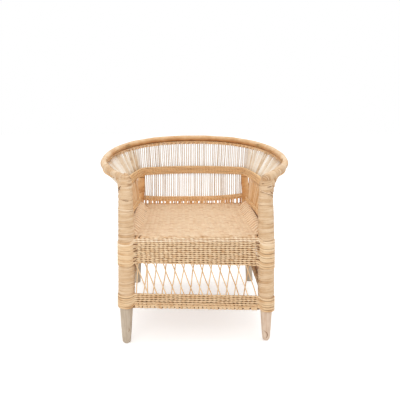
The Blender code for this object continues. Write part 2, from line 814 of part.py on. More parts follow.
def mat_layer(front_axis, rear_axis, low_radius, high_radius):
    """The ribbed layer, which rolls over the front and back rails."""
    middle_y = (front_axis.y + rear_axis.y) / 2
    half_depth = (rear_axis.y - front_axis.y) / 2

    def at(share, radius, drop):
        height = front_axis.z + (rear_axis.z - front_axis.z) * share
        return (2 * share - 1) * half_depth, height + radius - sag(share) - drop

    low = [at(i / SAG_STEPS, low_radius, 0) for i in range(1, SAG_STEPS)]
    high = []
    for row in range(1, SEAT_ROWS):
        high.append(at((row - 0.5) / SEAT_ROWS, high_radius, RIB_DEPTH))
        high.append(at(row / SEAT_ROWS, high_radius, 0))
    high.append(at((SEAT_ROWS - 0.5) / SEAT_ROWS, high_radius, RIB_DEPTH))
    heights = (front_axis.z, rear_axis.z)
    section = rolled_section(half_depth, low_radius, high_radius, SEAT_RAIL_RADIUS, heights, low, high)
    leg_reach = around(FRONT_WRAP_RADIUS + 2 * GAP, LEG_SIDES)
    half_width = FRONT_RIGHT.at(SEAT_HEIGHT).x - leg_reach
    return loft([[Vector((x, middle_y + y, z)) for y, z in section] for x in (-half_width, half_width)])


def bolster_layer(front_axis, rear_axis, low_radius, high_radius):
    """The plain layer under it, which rolls over the side rails in two thick bolsters."""
    bolster = high_radius + BOLSTER_RISE
    slope = bolster * math.sqrt(0.5)
    depth = rear_axis.y - front_axis.y
    rear_stop = REAR_RIGHT.wrap_radius(rear_axis.z) + GAP
    first = FRONT_LEG_RADIUS / 2 / depth
    last = 1 - rear_stop / depth
    shares = [first, *[i / SAG_STEPS for i in range(1, SAG_STEPS)], last]
    rings = []
    for share in shares:
        axis = front_axis.lerp(rear_axis, share)
        inner = axis.x - BOLSTER_WIDTH
        floor = axis.z + low_radius + MAT_LAP - sag(share)
        top = axis.z + high_radius - RIB_DEPTH - MAT_LAP - sag(share)
        low = [(-inner, floor), (inner, floor)]
        high = [(slope - axis.x, axis.z + slope), (-inner, top), (inner, top), (axis.x - slope, axis.z + slope)]
        section = rolled_section(
            axis.x, low_radius + MAT_LAP, bolster, SEAT_RAIL_RADIUS, (axis.z, axis.z), low, high
        )
        rings.append([Vector((x, axis.y, z)) for x, z in section])
    return loft(rings)


def seat():
    """Two crossing layers: a ribbed mat from front to back, and bolsters over the side rails."""
    front_axis = FRONT_RIGHT.at(FRONT_RIGHT.seat_rail_height())
    rear_axis = REAR_RIGHT.at(REAR_RIGHT.seat_rail_height())
    low_radius = SEAT_RAIL_RADIUS + GAP
    high_radius = low_radius + MAT_THICKNESS
    mat = mesh_object("seat_mat", *mat_layer(front_axis, rear_axis, low_radius, high_radius), SEAT_CANE)
    bolsters = bolster_layer(front_axis, rear_axis, low_radius, high_radius)
    combine(mat, helper("seat_mat_bolsters", *bolsters), "UNION")
    for cutter in wrap_cutters.values():
        cut(mat, cutter)


seat()


# Skirt: aprons, lattices and bottom bands

def wall(low_line, high_line, outline):
    """A panel between two lines. Each outline point is (outwards, 0 low or 1 high, rise from there)."""
    away = outward(*low_line)
    rings = []
    for low, high in zip(low_line, high_line):
        rings.append([(high if on_high else low) + away * u + UP * rise for u, on_high, rise in outline])
    return loft(rings)


def apron(side):
    low = side_line(side, lambda leg: APRON_BOTTOM)
    high = side_line(side, lambda leg: leg.seat_rail_height() - SEAT_RAIL_RADIUS - GAP)
    half = APRON_THICKNESS / 2
    slot = STRAND_THICKNESS / 2 + GAP
    outline = [(half, 0, 0), (half, 1, 0), (-half, 1, 0), (-half, 0, 0)]
    outline += [(-slot, 0, 0), (-slot, 0, SLOT_DEPTH), (slot, 0, SLOT_DEPTH), (slot, 0, 0)]
    cut_clear_of_legs(mesh_object(f"apron_{side}", *wall(low, high, outline), SKIRT_CANE), side)


def bottom_band(side):
    """A woven band on its stretcher, thicker where it goes round the rod."""
    low = side_line(side, lambda leg: STRETCHER_HEIGHT)
    high = side_line(side, lambda leg: BAND_TOP)
    half = BAND_THICKNESS / 2
    slot = STRAND_THICKNESS / 2 + GAP
    outline = [(half, 1, 0), (slot, 1, 0), (slot, 1, -SLOT_DEPTH)]
    outline += [(-slot, 1, -SLOT_DEPTH), (-slot, 1, 0), (-half, 1, 0)]
    first = math.acos(-half / BULGE_RADIUS)
    for i in range(BULGE_STEPS + 1):
        turn = first + (3 * math.pi - 2 * first) * i / BULGE_STEPS
        outline.append((BULGE_RADIUS * math.cos(turn), 0, BULGE_RADIUS * math.sin(turn)))
    band = mesh_object(f"bottom_band_{side}", *wall(low, high, outline), SKIRT_CANE)
    cut(band, stretcher_bores[side])
    cut_clear_of_legs(band, side)


def clipped(polygon, value):
    """The part of a polygon where a linear function of (x, y) is positive."""
    kept = []
    for a, b in zip(polygon, polygon[1:] + polygon[:1]):
        at_a, at_b = value(a), value(b)
        if at_a >= 0:
            kept.append(a)
        if (at_a >= 0) != (at_b >= 0):
            share = at_a / (at_a - at_b)
            kept.append((a[0] + (b[0] - a[0]) * share, a[1] + (b[1] - a[1]) * share))
    return kept


def area(polygon):
    pairs = zip(polygon, polygon[1:] + polygon[:1])
    return sum(a[0] * b[1] - b[0] * a[1] for a, b in pairs) / 2


def lattice_cells(length, height, rough_pitch):
    """The openings between two families of leaning strands that cross twice."""
    count = round(length / rough_pitch)
    pitch = length / count
    upper = height - WEB_HEIGHT - LATTICE_UPPER_DROP
    lower = WEB_HEIGHT + LATTICE_LOWER_RISE
    right_lean = LATTICE_SKEW * pitch / (upper - lower)
    left_lean = (LATTICE_SKEW - 1) * pitch / (upper - lower)
    frame = [
        (STRAND_WIDTH, WEB_HEIGHT),
        (length - STRAND_WIDTH, WEB_HEIGHT),
        (length - STRAND_WIDTH, height - WEB_HEIGHT),
        (STRAND_WIDTH, height - WEB_HEIGHT),
    ]

    def past(crossing, lean, way):
        """How far a point lies past one edge of a strand, to the right (1) or the left (-1)."""
        edge = STRAND_WIDTH / 2 * math.hypot(1, lean)
        return lambda p: way * (p[0] - (crossing + 0.5) * pitch - (upper - p[1]) * lean) - edge

    cells = []
    for i in range(-2, count + 2):
        for j in range(i - 2, i + 4):
            cell = clipped(frame, past(i, right_lean, 1))
            cell = clipped(cell, past(i + 1, right_lean, -1))
            cell = clipped(cell, past(j, left_lean, 1))
            cell = clipped(cell, past(j + 1, left_lean, -1))
            if len(cell) > 2 and area(cell) > SMALLEST_CELL:
                cells.append(cell)
    return cells


def flat_net(outlines):
    """Triangles of a flat shape with openings, from its outline and theirs, and its edges."""
    work = bmesh.new()
    for outline in outlines:
        corners = [work.verts.new((x, y, 0)) for x, y in outline]
        for a, b in zip(corners, corners[1:] + corners[:1]):
            work.edges.new((a, b))
    bmesh.ops.triangle_fill(work, use_beauty=True, edges=work.edges[:], normal=UP)
    work.verts.index_update()
    flat = [(v.co.x, v.co.y) for v in work.verts]
    triangles = [tuple(v.index for v in face.verts) for face in work.faces]
    rims = [tuple(v.index for v in edge.verts) for edge in work.edges if edge.is_boundary]
    work.free()
    return flat, triangles, rims


def lattice(side):
    """Crossed strands between a bottom band and an apron, with an upright bar in the slot of each."""
    low = between_wraps(side, side_line(side, lambda leg: BAND_TOP), WEB_HEIGHT)
    high = between_wraps(side, side_line(side, lambda leg: APRON_BOTTOM), WEB_HEIGHT)
    away = outward(*low)
    length = (low[1] - low[0]).length
    clear_height = high[0].z - low[0].z
    levels = (0, WEB_HEIGHT, WEB_HEIGHT + clear_height, 2 * WEB_HEIGHT + clear_height)
    border = [(0, level) for level in reversed(levels)] + [(length, level) for level in levels]
    rough_pitch = FRONT_LATTICE_PITCH if side == "front" else OTHER_LATTICE_PITCH
    flat, triangles, rims = flat_net([border] + lattice_cells(length, levels[-1], rough_pitch))

    def placed(x, level, shift):
        above = level - WEB_HEIGHT
        share = min(max(above / clear_height, 0), 1)
        base = low[0].lerp(low[1], x / length).lerp(high[0].lerp(high[1], x / length), share)
        return base + UP * (above - share * clear_height) + away * shift

    half = STRAND_THICKNESS / 2
    points = [placed(x, level, shift) for shift in (-half, half) for x, level in flat]
    count = len(flat)
    faces = triangles + [tuple(i + count for i in triangle) for triangle in triangles]
    faces += [(a, b, b + count, a + count) for a, b in rims]
    mesh_object(f"lattice_{side}", points, faces, SKIRT_CANE)


for side in SIDES:
    apron(side)
    bottom_band(side)
    lattice(side)


# Cane on the legs

def cuff(name, leg, middle):
    """A short sleeve of cane round a front leg, where tenons pass through it."""
    heights = (middle - CUFF_HALF_HEIGHT, middle + CUFF_HALF_HEIGHT)
    inner = [flat_ring(leg.at(z), around(leg.radius(z) + GAP, LEG_SIDES), LEG_SIDES) for z in heights]
    piece = mesh_object(name, *sleeve(leg.rings(heights, leg.wrap), inner), WOUND_CANE)
    cut(piece, *tenon_cutters[leg.name])


def winding(name, leg, low, high, turns):
    """One cane strip wound round a front leg, and the least gap between its turns."""
    width = (high - low - turns * TURN_GAP) / (turns + 1)
    pitch = width + TURN_GAP
    inside = around(leg.radius(low) + GAP, POINTS_PER_TURN)
    outside = leg.wrap_radius(low)
    face = width / 2 - STRIP_BEVEL
    section = [(inside, -width / 2), (outside, -face), (outside, face), (inside, width / 2)]
    rings = []
    for i in range(turns * POINTS_PER_TURN + 1):
        turn = 2 * math.pi * i / POINTS_PER_TURN
        height = low + width / 2 + pitch * i / POINTS_PER_TURN
        spoke = Vector((math.cos(turn), math.sin(turn), 0))
        rings.append([leg.at(height + rise) + spoke * reach for reach, rise in section])
    mesh_object(name, *loft(rings), WOUND_CANE)
    corners = np.array(rings)
    half_turn = POINTS_PER_TURN // 2
    gaps = []
    for i in range(len(corners) - half_turn):
        others = corners[i + half_turn:].reshape(-1, 3)
        gaps.append(np.linalg.norm(corners[i][:, None] - others[None], axis=2).min())
    print(f"{name}: least gap to itself {min(gaps) * 1000:.2f} mm")


def right_neck_rings():
    """Rings of the lashing round the rail's right end. The far one is parallel to the binding's first."""
    far = along_rail(LASHING_REACH)
    near_side = outward(RAIL_SEAT, far)
    far_side = outward(far, RAIL_HALF[0])
    near_circle = circle(LASHING_NECK_RADIUS, LEG_SIDES)
    far_circle = circle(LASHING_END_RADIUS, LEG_SIDES)
    near_ring = [RAIL_SEAT + near_side * u + UP * v for u, v in near_circle]
    far_ring = [far + far_side * u + UP * v for u, v in far_circle]
    return near_ring, far_ring


def lashing(side_name, leg):
    """The bound knuckle where the rail lies on a front leg."""
    full = leg.wrap_radius(ARM_HEIGHT)
    dome = [(LASHING_BOTTOM, full)]
    for i in range(DOME_STEPS + 1):
        turn = DOME_END * i / DOME_STEPS
        dome.append((ARM_HEIGHT + LASHING_CROWN * math.sin(turn), full * math.cos(turn)))
    rings = [flat_ring(leg.at(z), radius, LEG_SIDES) for z, radius in dome]
    knuckle = mesh_object(f"arm_lashing_{side_name}", *loft(rings), WOUND_CANE)
    neck_rings = right_neck_rings()
    if leg.foot.x < 0:
        neck_rings = [[mirrored(point) for point in ring] for ring in neck_rings]
    combine(knuckle, helper(f"arm_lashing_{side_name}_neck", *loft(neck_rings)), "UNION")
    bore_low = LASHING_BOTTOM - leg.wrap
    bore = leg.clearance(f"arm_lashing_{side_name}_bore", bore_low, FRONT_LEG_TOP + GAP, 0)
    cut(knuckle, bore, rail_saddle, hoop_socket)


def post_wrap(side_name, leg):
    """The cane round a rear leg, smooth at a glance, from the bottom band up to the middle band."""
    heights = (WRAP_BOTTOM, leg.seat_rail_height(), REAR_LEG_TOP - GAP)
    inner = [flat_ring(leg.at(z), around(leg.radius(z) + GAP, LEG_SIDES), LEG_SIDES) for z in heights]
    outer = leg.rings(heights, leg.wrap)
    piece = mesh_object(f"rear_leg_wrap_{side_name}", *sleeve(outer, inner), BAND_CANE)
    cut(piece, *tenon_cutters[leg.name])


for side_name, leg in FRONT_LEGS.items():
    rail_z = leg.seat_rail_height()
    cuff(f"front_leg_foot_cuff_{side_name}", leg, STRETCHER_HEIGHT)
    cuff(f"front_leg_seat_cuff_{side_name}", leg, rail_z)
    winding_low = STRETCHER_HEIGHT + CUFF_HALF_HEIGHT + GAP
    winding_high = rail_z - CUFF_HALF_HEIGHT - GAP
    winding(f"front_leg_lower_winding_{side_name}", leg, winding_low, winding_high, LOWER_TURNS)
    winding_low = rail_z + CUFF_HALF_HEIGHT + GAP
    winding(f"front_leg_upper_winding_{side_name}", leg, winding_low, LASHING_BOTTOM - GAP, UPPER_TURNS)
    lashing(side_name, leg)

for side_name, leg in REAR_LEGS.items():
    post_wrap(side_name, leg)
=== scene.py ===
"""Looks of a child's cane armchair: wound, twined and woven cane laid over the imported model."""

import math
from dataclasses import dataclass

import bpy
import numpy as np
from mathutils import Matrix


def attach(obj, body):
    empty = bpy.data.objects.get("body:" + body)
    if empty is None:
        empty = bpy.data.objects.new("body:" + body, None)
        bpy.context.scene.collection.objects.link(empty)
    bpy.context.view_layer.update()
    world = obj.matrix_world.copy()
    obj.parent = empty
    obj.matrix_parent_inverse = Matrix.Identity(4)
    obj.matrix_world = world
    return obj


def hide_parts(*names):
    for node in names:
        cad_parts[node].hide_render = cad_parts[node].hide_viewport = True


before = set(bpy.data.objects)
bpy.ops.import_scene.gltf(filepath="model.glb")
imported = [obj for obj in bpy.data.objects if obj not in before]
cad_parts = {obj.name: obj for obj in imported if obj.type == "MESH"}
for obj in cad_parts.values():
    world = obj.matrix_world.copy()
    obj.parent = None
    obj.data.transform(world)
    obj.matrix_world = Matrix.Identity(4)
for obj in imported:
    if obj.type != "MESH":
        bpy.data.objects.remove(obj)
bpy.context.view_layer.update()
rng = np.random.default_rng(20)

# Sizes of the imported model, in metres
FRONT_Y = -0.2044
FRONT_FOOT_X = 0.177
FRONT_TOP_X = 0.1655
FRONT_TOP_Z = 0.416
FRONT_RADIUS = 0.015
FRONT_WRAP_RADIUS = 0.0200
TAPER_Z = 0.09
REAR_FOOT_X = 0.1885
REAR_TOP_X = 0.1625
REAR_TOP_Z = 0.3607
REAR_FOOT_DEPTH = 0.401
REAR_TOP_DEPTH = 0.375
REAR_FOOT_RADIUS = 0.0107
REAR_TOP_RADIUS = 0.007
REAR_WRAP = 0.002
ARM_Z = 0.418
BACK_Z = 0.4765
RAIL_DEPTH = 0.42
RAIL_HALF = 0.241
RAIL_WIDEST = 0.165
RAIL_POWER = 2 / 2.25
RAIL_RADIUS = 0.0088
RAIL_BAND_START = 0.065
RAIL_BAND_DROP = 0.0136
MID_Z = 0.370
MID_BOW = 0.035
MID_SIDE_BOW = 0.0245
MID_CORNER = 0.021
MID_START = 0.040
SEAT_Z = 0.279
SEAT_DROP = 0.011
SEAT_SAG = 0.003
SEAT_ROWS = 82
SEAT_BAND_RISE = 0.0145
SEAT_RAIL_DROP = 0.0128
BOLSTER_RADIUS = 0.0158
BOLSTER_WIDTH = 0.020
APRON_BOTTOM = 0.207
BAND_TOP = 0.1295
STRETCHER_Z = 0.0985
WRAP_BOTTOM = 0.091
FRONT_OUTSET = 0.005
REAR_OUTSET = 0.003

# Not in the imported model: the front skirt hangs lower on the right, and the middle band rises to the back
SKIRT_SLOPE = -0.036
MID_RISE = 0.007

UP = np.array([0.0, 0.0, 1.0])
ACROSS = np.array([1.0, 0.0, 0.0])
FORWARD = np.array([0.0, -1.0, 0.0])
SIGNS = {"left": -1.0, "right": 1.0}


# Curves as rows of points

def unit(vectors):
    return vectors / np.linalg.norm(vectors, axis=-1, keepdims=True)


def lengths(points):
    steps = np.linalg.norm(np.diff(points, axis=0), axis=1)
    return np.concatenate([[0.0], np.cumsum(steps)])


def interp_rows(wanted, known, rows):
    return np.stack([np.interp(wanted, known, rows[:, axis]) for axis in range(3)], axis=1)


def at_lengths(points, wanted):
    return interp_rows(wanted, lengths(points), points)


def resample(points, step):
    total = lengths(points)[-1]
    return at_lengths(points, np.linspace(0, total, max(2, round(total / step)) + 1))


def smooth(values, passes):
    for _ in range(passes):
        inner = (values[:-2] + 2 * values[1:-1] + values[2:]) / 4
        values = np.concatenate([values[:1], inner, values[-1:]])
    return values


def tangents(points):
    return unit(np.gradient(points, axis=0))


def outward(points):
    return unit(np.cross(tangents(points), UP))


def drift(count, waves, amount):
    """A smooth random curve of about so many waves."""
    turn = np.linspace(0, 2 * np.pi, count)
    total = np.zeros(count)
    for _ in range(3):
        total += np.sin(waves * rng.uniform(0.6, 1.4) * turn + rng.uniform(0, 2 * np.pi))
    return amount * total / 1.7


def jittered(values, amount):
    return values + rng.uniform(-amount, amount, len(values))


def mirrored(points, sign):
    return points * np.array([sign, 1.0, 1.0])


def bezier(start, one, two, end, count):
    t = np.linspace(0, 1, count)[:, None]
    return (1 - t) ** 3 * start + 3 * t * (1 - t) ** 2 * one + 3 * t * t * (1 - t) * two + t ** 3 * end


def line(start, end, count):
    t = np.linspace(0, 1, count)[:, None]
    return np.asarray(start) * (1 - t) + np.asarray(end) * t


# Strands joined into one mesh

# Tones past the cane ramp's deep stop render as painted shade, darkest at DARKEST.
DARKEST = 1.4


class Strands:
    """Closed strips of oval section, kept with a tone for each and a map that runs along it."""

    def __init__(self):
        self.points = []
        self.tones = []
        self.loops = []
        self.starts = []
        self.maps = []
        self.count = 0
        self.loop_count = 0

    def add(self, points, normals, half_width, half_thickness, tone=0.5, sides=5):
        """One strip. Sizes are single or one for each point; the tone also one for each corner."""
        rows = len(points)
        along = tangents(points)
        normals = np.broadcast_to(normals, points.shape)
        normals = unit(normals - (normals * along).sum(axis=1, keepdims=True) * along)
        across = np.cross(along, normals)
        turn = 2 * np.pi * (np.arange(sides) + 0.5) / sides
        wide = np.broadcast_to(half_width, rows)[:, None] * np.cos(turn)
        thick = np.broadcast_to(half_thickness, rows)[:, None] * np.sin(turn)
        rings = points[:, None] + across[:, None] * wide[..., None] + normals[:, None] * thick[..., None]
        self.points.append(rings.reshape(-1, 3))
        tones = tone if np.ndim(tone) == 2 else np.reshape(tone, (-1, 1))
        self.tones.append(np.clip(np.broadcast_to(tones, (rows, sides)), 0, DARKEST).ravel())
        row, side = np.meshgrid(np.arange(rows - 1), np.arange(sides), indexing="ij")
        after = (side + 1) % sides
        ring = row * sides
        corners = [ring + side, ring + sides + side, ring + sides + after, ring + after]
        quads = np.stack(corners, axis=-1).reshape(-1, 4)
        run = lengths(points) + rng.uniform(0, 5)
        near = np.stack([run[row], side / sides], axis=-1)
        far = np.stack([run[row + 1], side / sides], axis=-1)
        step = np.array([0.0, 1 / sides])
        self.maps.append(np.stack([near, far, far + step, near + step], axis=2).reshape(-1, 2))
        first = np.arange(sides)
        caps = np.concatenate([first, (rows - 1) * sides + first[::-1]])
        self.maps.append(np.tile(np.array([run[0], 0.5]), (2 * sides, 1)))
        self.loops.append(quads.reshape(-1) + self.count)
        self.loops.append(caps + self.count)
        self.starts.append(self.loop_count + 4 * np.arange(len(quads)))
        cap_start = self.loop_count + 4 * len(quads)
        self.starts.append(np.array([cap_start, cap_start + sides]))
        self.loop_count = cap_start + 2 * sides
        self.count += rows * sides

    def mesh(self, name):
        mesh = bpy.data.meshes.new(name)
        loops = np.concatenate(self.loops)
        starts = np.concatenate(self.starts)
        mesh.vertices.add(self.count)
        mesh.vertices.foreach_set("co", np.concatenate(self.points).ravel())
        mesh.loops.add(len(loops))
        mesh.loops.foreach_set("vertex_index", loops)
        mesh.polygons.add(len(starts))
        mesh.polygons.foreach_set("loop_start", starts)
        mesh.polygons.foreach_set("use_smooth", np.ones(len(starts), dtype=bool))
        mesh.update(calc_edges=True)
        layer = mesh.uv_layers.new(name="strand")
        layer.data.foreach_set("uv", np.concatenate(self.maps).ravel())
        tone = mesh.attributes.new("tone", "FLOAT", "POINT")
        tone.data.foreach_set("value", np.concatenate(self.tones).astype(np.float32))
        return mesh


def added(name, data):
    thing = bpy.data.objects.new(name, data)
    bpy.context.scene.collection.objects.link(thing)
    return thing


def place(name, strands, material, nodes):
    mesh = strands.mesh(name)
    piece = added(name, mesh)
    mesh.materials.append(material)
    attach(piece, "root")
    if nodes:
        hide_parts(*nodes)


def woven(name, material, slot, nodes, build, *args):
    strands = Strands()
    build(strands, *args)
    place(name, strands, material, nodes)


def transported(points, first):
    """Normals that turn no more than the path does."""
    along = tangents(points)
    normals = np.empty_like(points)
    normal = np.asarray(first, dtype=float)
    for index, direction in enumerate(along):
        normal = unit(normal - normal.dot(direction) * direction)
        normals[index] = normal
    return normals


WIND_LAP = 0.60
WIND_SIDES = 8
POINTS_PER_TURN = 28


def lining(strands, path, radius, tone, sides=12):
    """A plain tube inside a winding or under a row of strands, which shows only in the gaps. Its deeper tone
    is painted shade in those gaps.
    """
    strands.add(path, transported(path, FORWARD), radius, radius, tone, sides)


def wind(strands, path, radius, pitch, half_thickness, tone, tilt=0.0010, bump=0.0003, lap=WIND_LAP):
    """One strip wound round a path. Radius and pitch are given at each point of it."""
    run = lengths(path)
    across = transported(path, FORWARD)
    along = tangents(path)
    shade_beside = np.cross(along, across)
    turning = 2 * np.pi / pitch
    angle = np.concatenate([[0.0], np.cumsum((turning[1:] + turning[:-1]) / 2 * np.diff(run))])
    turns = angle[-1] / (2 * np.pi)
    count = int(turns * POINTS_PER_TURN)
    theta = np.linspace(0, angle[-1], count)
    here = np.interp(theta, angle, run)
    radial = interp_rows(here, run, across) * np.cos(theta)[:, None]
    radial += interp_rows(here, run, shade_beside) * np.sin(theta)[:, None]
    lean = tilt * np.sin(theta + drift(count, turns / 6, 2.0)) * (0.6 + drift(count, turns / 4, 0.4))
    swell = np.interp(here, run, radius) + drift(count, turns / 1.7, bump)
    points = interp_rows(here, run, path) + radial * swell[:, None]
    points += interp_rows(here, run, along) * lean[:, None]
    tones = tone + drift(count, turns / 3, 0.13) + drift(count, turns / 0.9, 0.10)
    width = lap * np.interp(here, run, pitch)
    strands.add(points, radial, width, half_thickness, tones, WIND_SIDES)


@dataclass
class Weave:
    """A twined row: stake spacing, how far its strands bulge and part, and their half sizes."""
    pitch: float
    lift: float
    spread: float
    wide: float
    narrow: float
    thick: float
    tone: float
    sides: int = 5
    contrast: float = 0.0


APRON_WEAVE = Weave(0.0107, 0.0016, 0.0003, 0.0028, 0.0010, 0.0010, 0.28)
ROLL_WEAVE = Weave(0.0107, 0.0010, 0.0008, 0.0028, 0.0014, 0.0010, 0.76)
BAND_WEAVE = Weave(0.0107, 0.0017, 0.0007, 0.0025, 0.0007, 0.0011, 0.34)
SEAT_WEAVE = Weave(0.0107, 0.0007, 0.0005, 0.0028, 0.0017, 0.0009, 0.42, 4)
FINE_WEAVE = Weave(0.0048, 0.0016, 0.0008, 0.0021, 0.0011, 0.0012, 0.16, 4, 0.22)
ROPE_WEAVE = Weave(0.0070, 0.0020, 0.0014, 0.0021, 0.0013, 0.0015, 0.20, 5, 0.32)
HUG_WIDER = 1.15
HUG_DEEPER = 0.14
TONE_SPREAD = 0.2


def twine(strands, points, normals, phase, weave, hug=0.0):
    """Two strands twisted along a row: wide on each stake, and narrow where they change places.

    Where the row hugs a leg, both strands are wider still, and a little deeper in tone.
    """
    normals = np.broadcast_to(normals, points.shape)
    across = unit(np.cross(tangents(points), normals))
    width = weave.narrow + (weave.wide - weave.narrow) * np.cos(phase) ** 2
    width = width + (HUG_WIDER * weave.wide - width) * hug
    for sign in (1, -1):
        out = sign * weave.lift * np.cos(phase)
        over = sign * weave.spread * np.sin(phase)
        path = points + normals * out[:, None] + across * over[:, None]
        tone = weave.tone + sign * weave.contrast + HUG_DEEPER * hug
        tone = tone + rng.uniform(-TONE_SPREAD, TONE_SPREAD) + drift(len(points), 5, 0.12)
        strands.add(path, normals, width, weave.thick, tone, weave.sides)


# The model's own curves

def front_x(z):
    return FRONT_FOOT_X + (FRONT_TOP_X - FRONT_FOOT_X) * z / FRONT_TOP_Z


def rear_x(z):
    return REAR_FOOT_X + (REAR_TOP_X - REAR_FOOT_X) * z / REAR_TOP_Z


def rear_y(z):
    return FRONT_Y + REAR_FOOT_DEPTH + (REAR_TOP_DEPTH - REAR_FOOT_DEPTH) * z / REAR_TOP_Z


def front_point(z):
    return np.array([front_x(z), FRONT_Y, z])


def rear_point(z):
    return np.array([rear_x(z), rear_y(z), z])


def rail_right_half():
    share = np.linspace(0, 1, 80)
    arm_x = FRONT_TOP_X + (RAIL_HALF - FRONT_TOP_X) * np.sin(np.pi / 2 * share)
    arm_depth = RAIL_WIDEST * share
    angle = np.linspace(0, np.pi / 2, 160)[1:]
    back_x = RAIL_HALF * np.maximum(np.cos(angle), 0) ** RAIL_POWER
    back_depth = RAIL_WIDEST + (RAIL_DEPTH - RAIL_WIDEST) * np.sin(angle) ** RAIL_POWER
    x = np.concatenate([arm_x, back_x])
    depth = np.concatenate([arm_depth, back_depth])
    z = ARM_Z + (BACK_Z - ARM_Z) * depth / RAIL_DEPTH
    return np.stack([x, FRONT_Y + depth, z], axis=1)


def both_halves(half):
    return np.concatenate([half, mirrored(half[-2::-1], -1.0)])


RAIL_HALF_PATH = resample(rail_right_half(), 0.002)
RAIL_HALF_LENGTH = lengths(RAIL_HALF_PATH)[-1]
MID_FRONT = front_point(MID_Z)
MID_BACK_Z = MID_Z + MID_RISE
MID_POST = np.array([REAR_TOP_X, FRONT_Y + REAR_TOP_DEPTH, MID_BACK_Z])
MID_SIDE_LENGTH = np.linalg.norm(MID_POST - MID_FRONT)


def rail_from(start, step):
    """The rail's whole path, starting so far from each front leg."""
    half = at_lengths(RAIL_HALF_PATH, np.arange(start, RAIL_HALF_LENGTH, step))
    return both_halves(np.concatenate([half, RAIL_HALF_PATH[-1:]]))


def middle_side(run):
    share = (run / MID_SIDE_LENGTH)[:, None]
    swell = MID_SIDE_BOW * np.sin(np.pi * share) * ACROSS
    return MID_FRONT * (1 - share) + MID_POST * share + swell


def middle_right_half():
    """The middle band's path, which rises along the side and runs level across the back."""
    side = middle_side(np.linspace(MID_START, MID_SIDE_LENGTH - MID_CORNER, 60))
    x = np.linspace(REAR_TOP_X - MID_CORNER, 0, 60)
    arch = 1 - (x / REAR_TOP_X) ** 2
    back = np.stack([x, MID_POST[1] + MID_BOW * arch, np.full(60, MID_BACK_Z)], axis=1)
    t = np.linspace(0, 1, 16)[1:-1, None]
    corner = (1 - t) ** 2 * side[-1] + 2 * t * (1 - t) * MID_POST + t * t * back[0]
    return np.concatenate([side, corner, back]), lengths(side)[-1], lengths(corner)[-1]


MID_HALF_RAW, SIDE_LENGTH, CORNER_LENGTH = middle_right_half()
MID_HALF_PATH = resample(MID_HALF_RAW, 0.002)
MID_HALF_LENGTH = lengths(MID_HALF_PATH)[-1]
POST_LENGTH = SIDE_LENGTH + CORNER_LENGTH / 2
STAKE_LEAN = 0.022


def over_post():
    """How far along the rail it passes over a rear post."""
    run = lengths(RAIL_HALF_PATH)
    behind = RAIL_HALF_PATH[:, 1] > FRONT_Y + RAIL_WIDEST
    return np.interp(-REAR_TOP_X, -RAIL_HALF_PATH[behind, 0], run[behind])


RAIL_OVER_POST = over_post()


def rail_over(run):
    """Where on the rail a stake ends that starts so far along the middle band. Side stakes lean back."""
    ends = [RAIL_BAND_START, RAIL_OVER_POST, RAIL_HALF_LENGTH]
    plain = np.interp(run, [0.0, POST_LENGTH, MID_HALF_LENGTH], ends)
    return plain + STAKE_LEAN * np.sin(np.pi * np.clip(run / POST_LENGTH, 0, 1))


SEAT_DEPTH = rear_y(SEAT_Z - SEAT_DROP - SEAT_RAIL_DROP) - FRONT_Y


def seat_top(depth):
    share = depth / SEAT_DEPTH
    return SEAT_Z - SEAT_DROP * share - 4 * SEAT_SAG * share * (1 - share)


def skirt_share(z):
    """How much of the skirt's slope shows at a height: none at the seat, all below the apron."""
    return np.clip((SEAT_Z - z) / (SEAT_Z - APRON_BOTTOM), 0, 1)


# Materials

def linear(red, green, blue):
    def channel(value):
        value /= 255
        return value / 12.92 if value <= 0.04045 else ((value + 0.055) / 1.055) ** 2.4
    return (channel(red), channel(green), channel(blue), 1.0)


def node(tree, kind, **settings):
    made = tree.nodes.new(kind)
    for name, value in settings.items():
        setattr(made, name, value)
    return made


def noise(tree, vector, scale, detail):
    made = node(tree, "ShaderNodeTexNoise")
    made.inputs["Scale"].default_value = scale
    made.inputs["Detail"].default_value = detail
    tree.links.new(vector, made.inputs["Vector"])
    return made.outputs["Fac"]


def math_node(tree, operation, *values):
    made = node(tree, "ShaderNodeMath", operation=operation)
    for socket, value in zip(made.inputs, values):
        if isinstance(value, (int, float)):
            socket.default_value = value
        else:
            tree.links.new(value, socket)
    return made.outputs[0]


def ramp(tree, factor, stops):
    made = node(tree, "ShaderNodeValToRGB")
    elements = made.color_ramp.elements
    while len(elements) < len(stops):
        elements.new(0.5)
    for element, (position, colour) in zip(elements, stops):
        element.position = position
        element.color = colour
    tree.links.new(factor, made.inputs["Fac"])
    return made.outputs["Color"]


def started(name):
    material = bpy.data.materials.new(name)
    material.use_nodes = True
    return material, material.node_tree, material.node_tree.nodes["Principled BSDF"]


def finish_surface(tree, shader, height, strength, low, high):
    bump = node(tree, "ShaderNodeBump")
    bump.inputs["Strength"].default_value = strength
    bump.inputs["Distance"].default_value = 0.0006
    tree.links.new(height, bump.inputs["Height"])
    tree.links.new(bump.outputs["Normal"], shader.inputs["Normal"])
    spread = node(tree, "ShaderNodeMapRange")
    spread.inputs["To Min"].default_value = low
    spread.inputs["To Max"].default_value = high
    tree.links.new(height, spread.inputs["Value"])
    tree.links.new(spread.outputs["Result"], shader.inputs["Roughness"])


# The cane ramp's darkest stop is painted shade: strips with tones past deep turn this brown to stand for
# gaps and hollows in shadow.
SHADE_BROWN = (120, 68, 22)


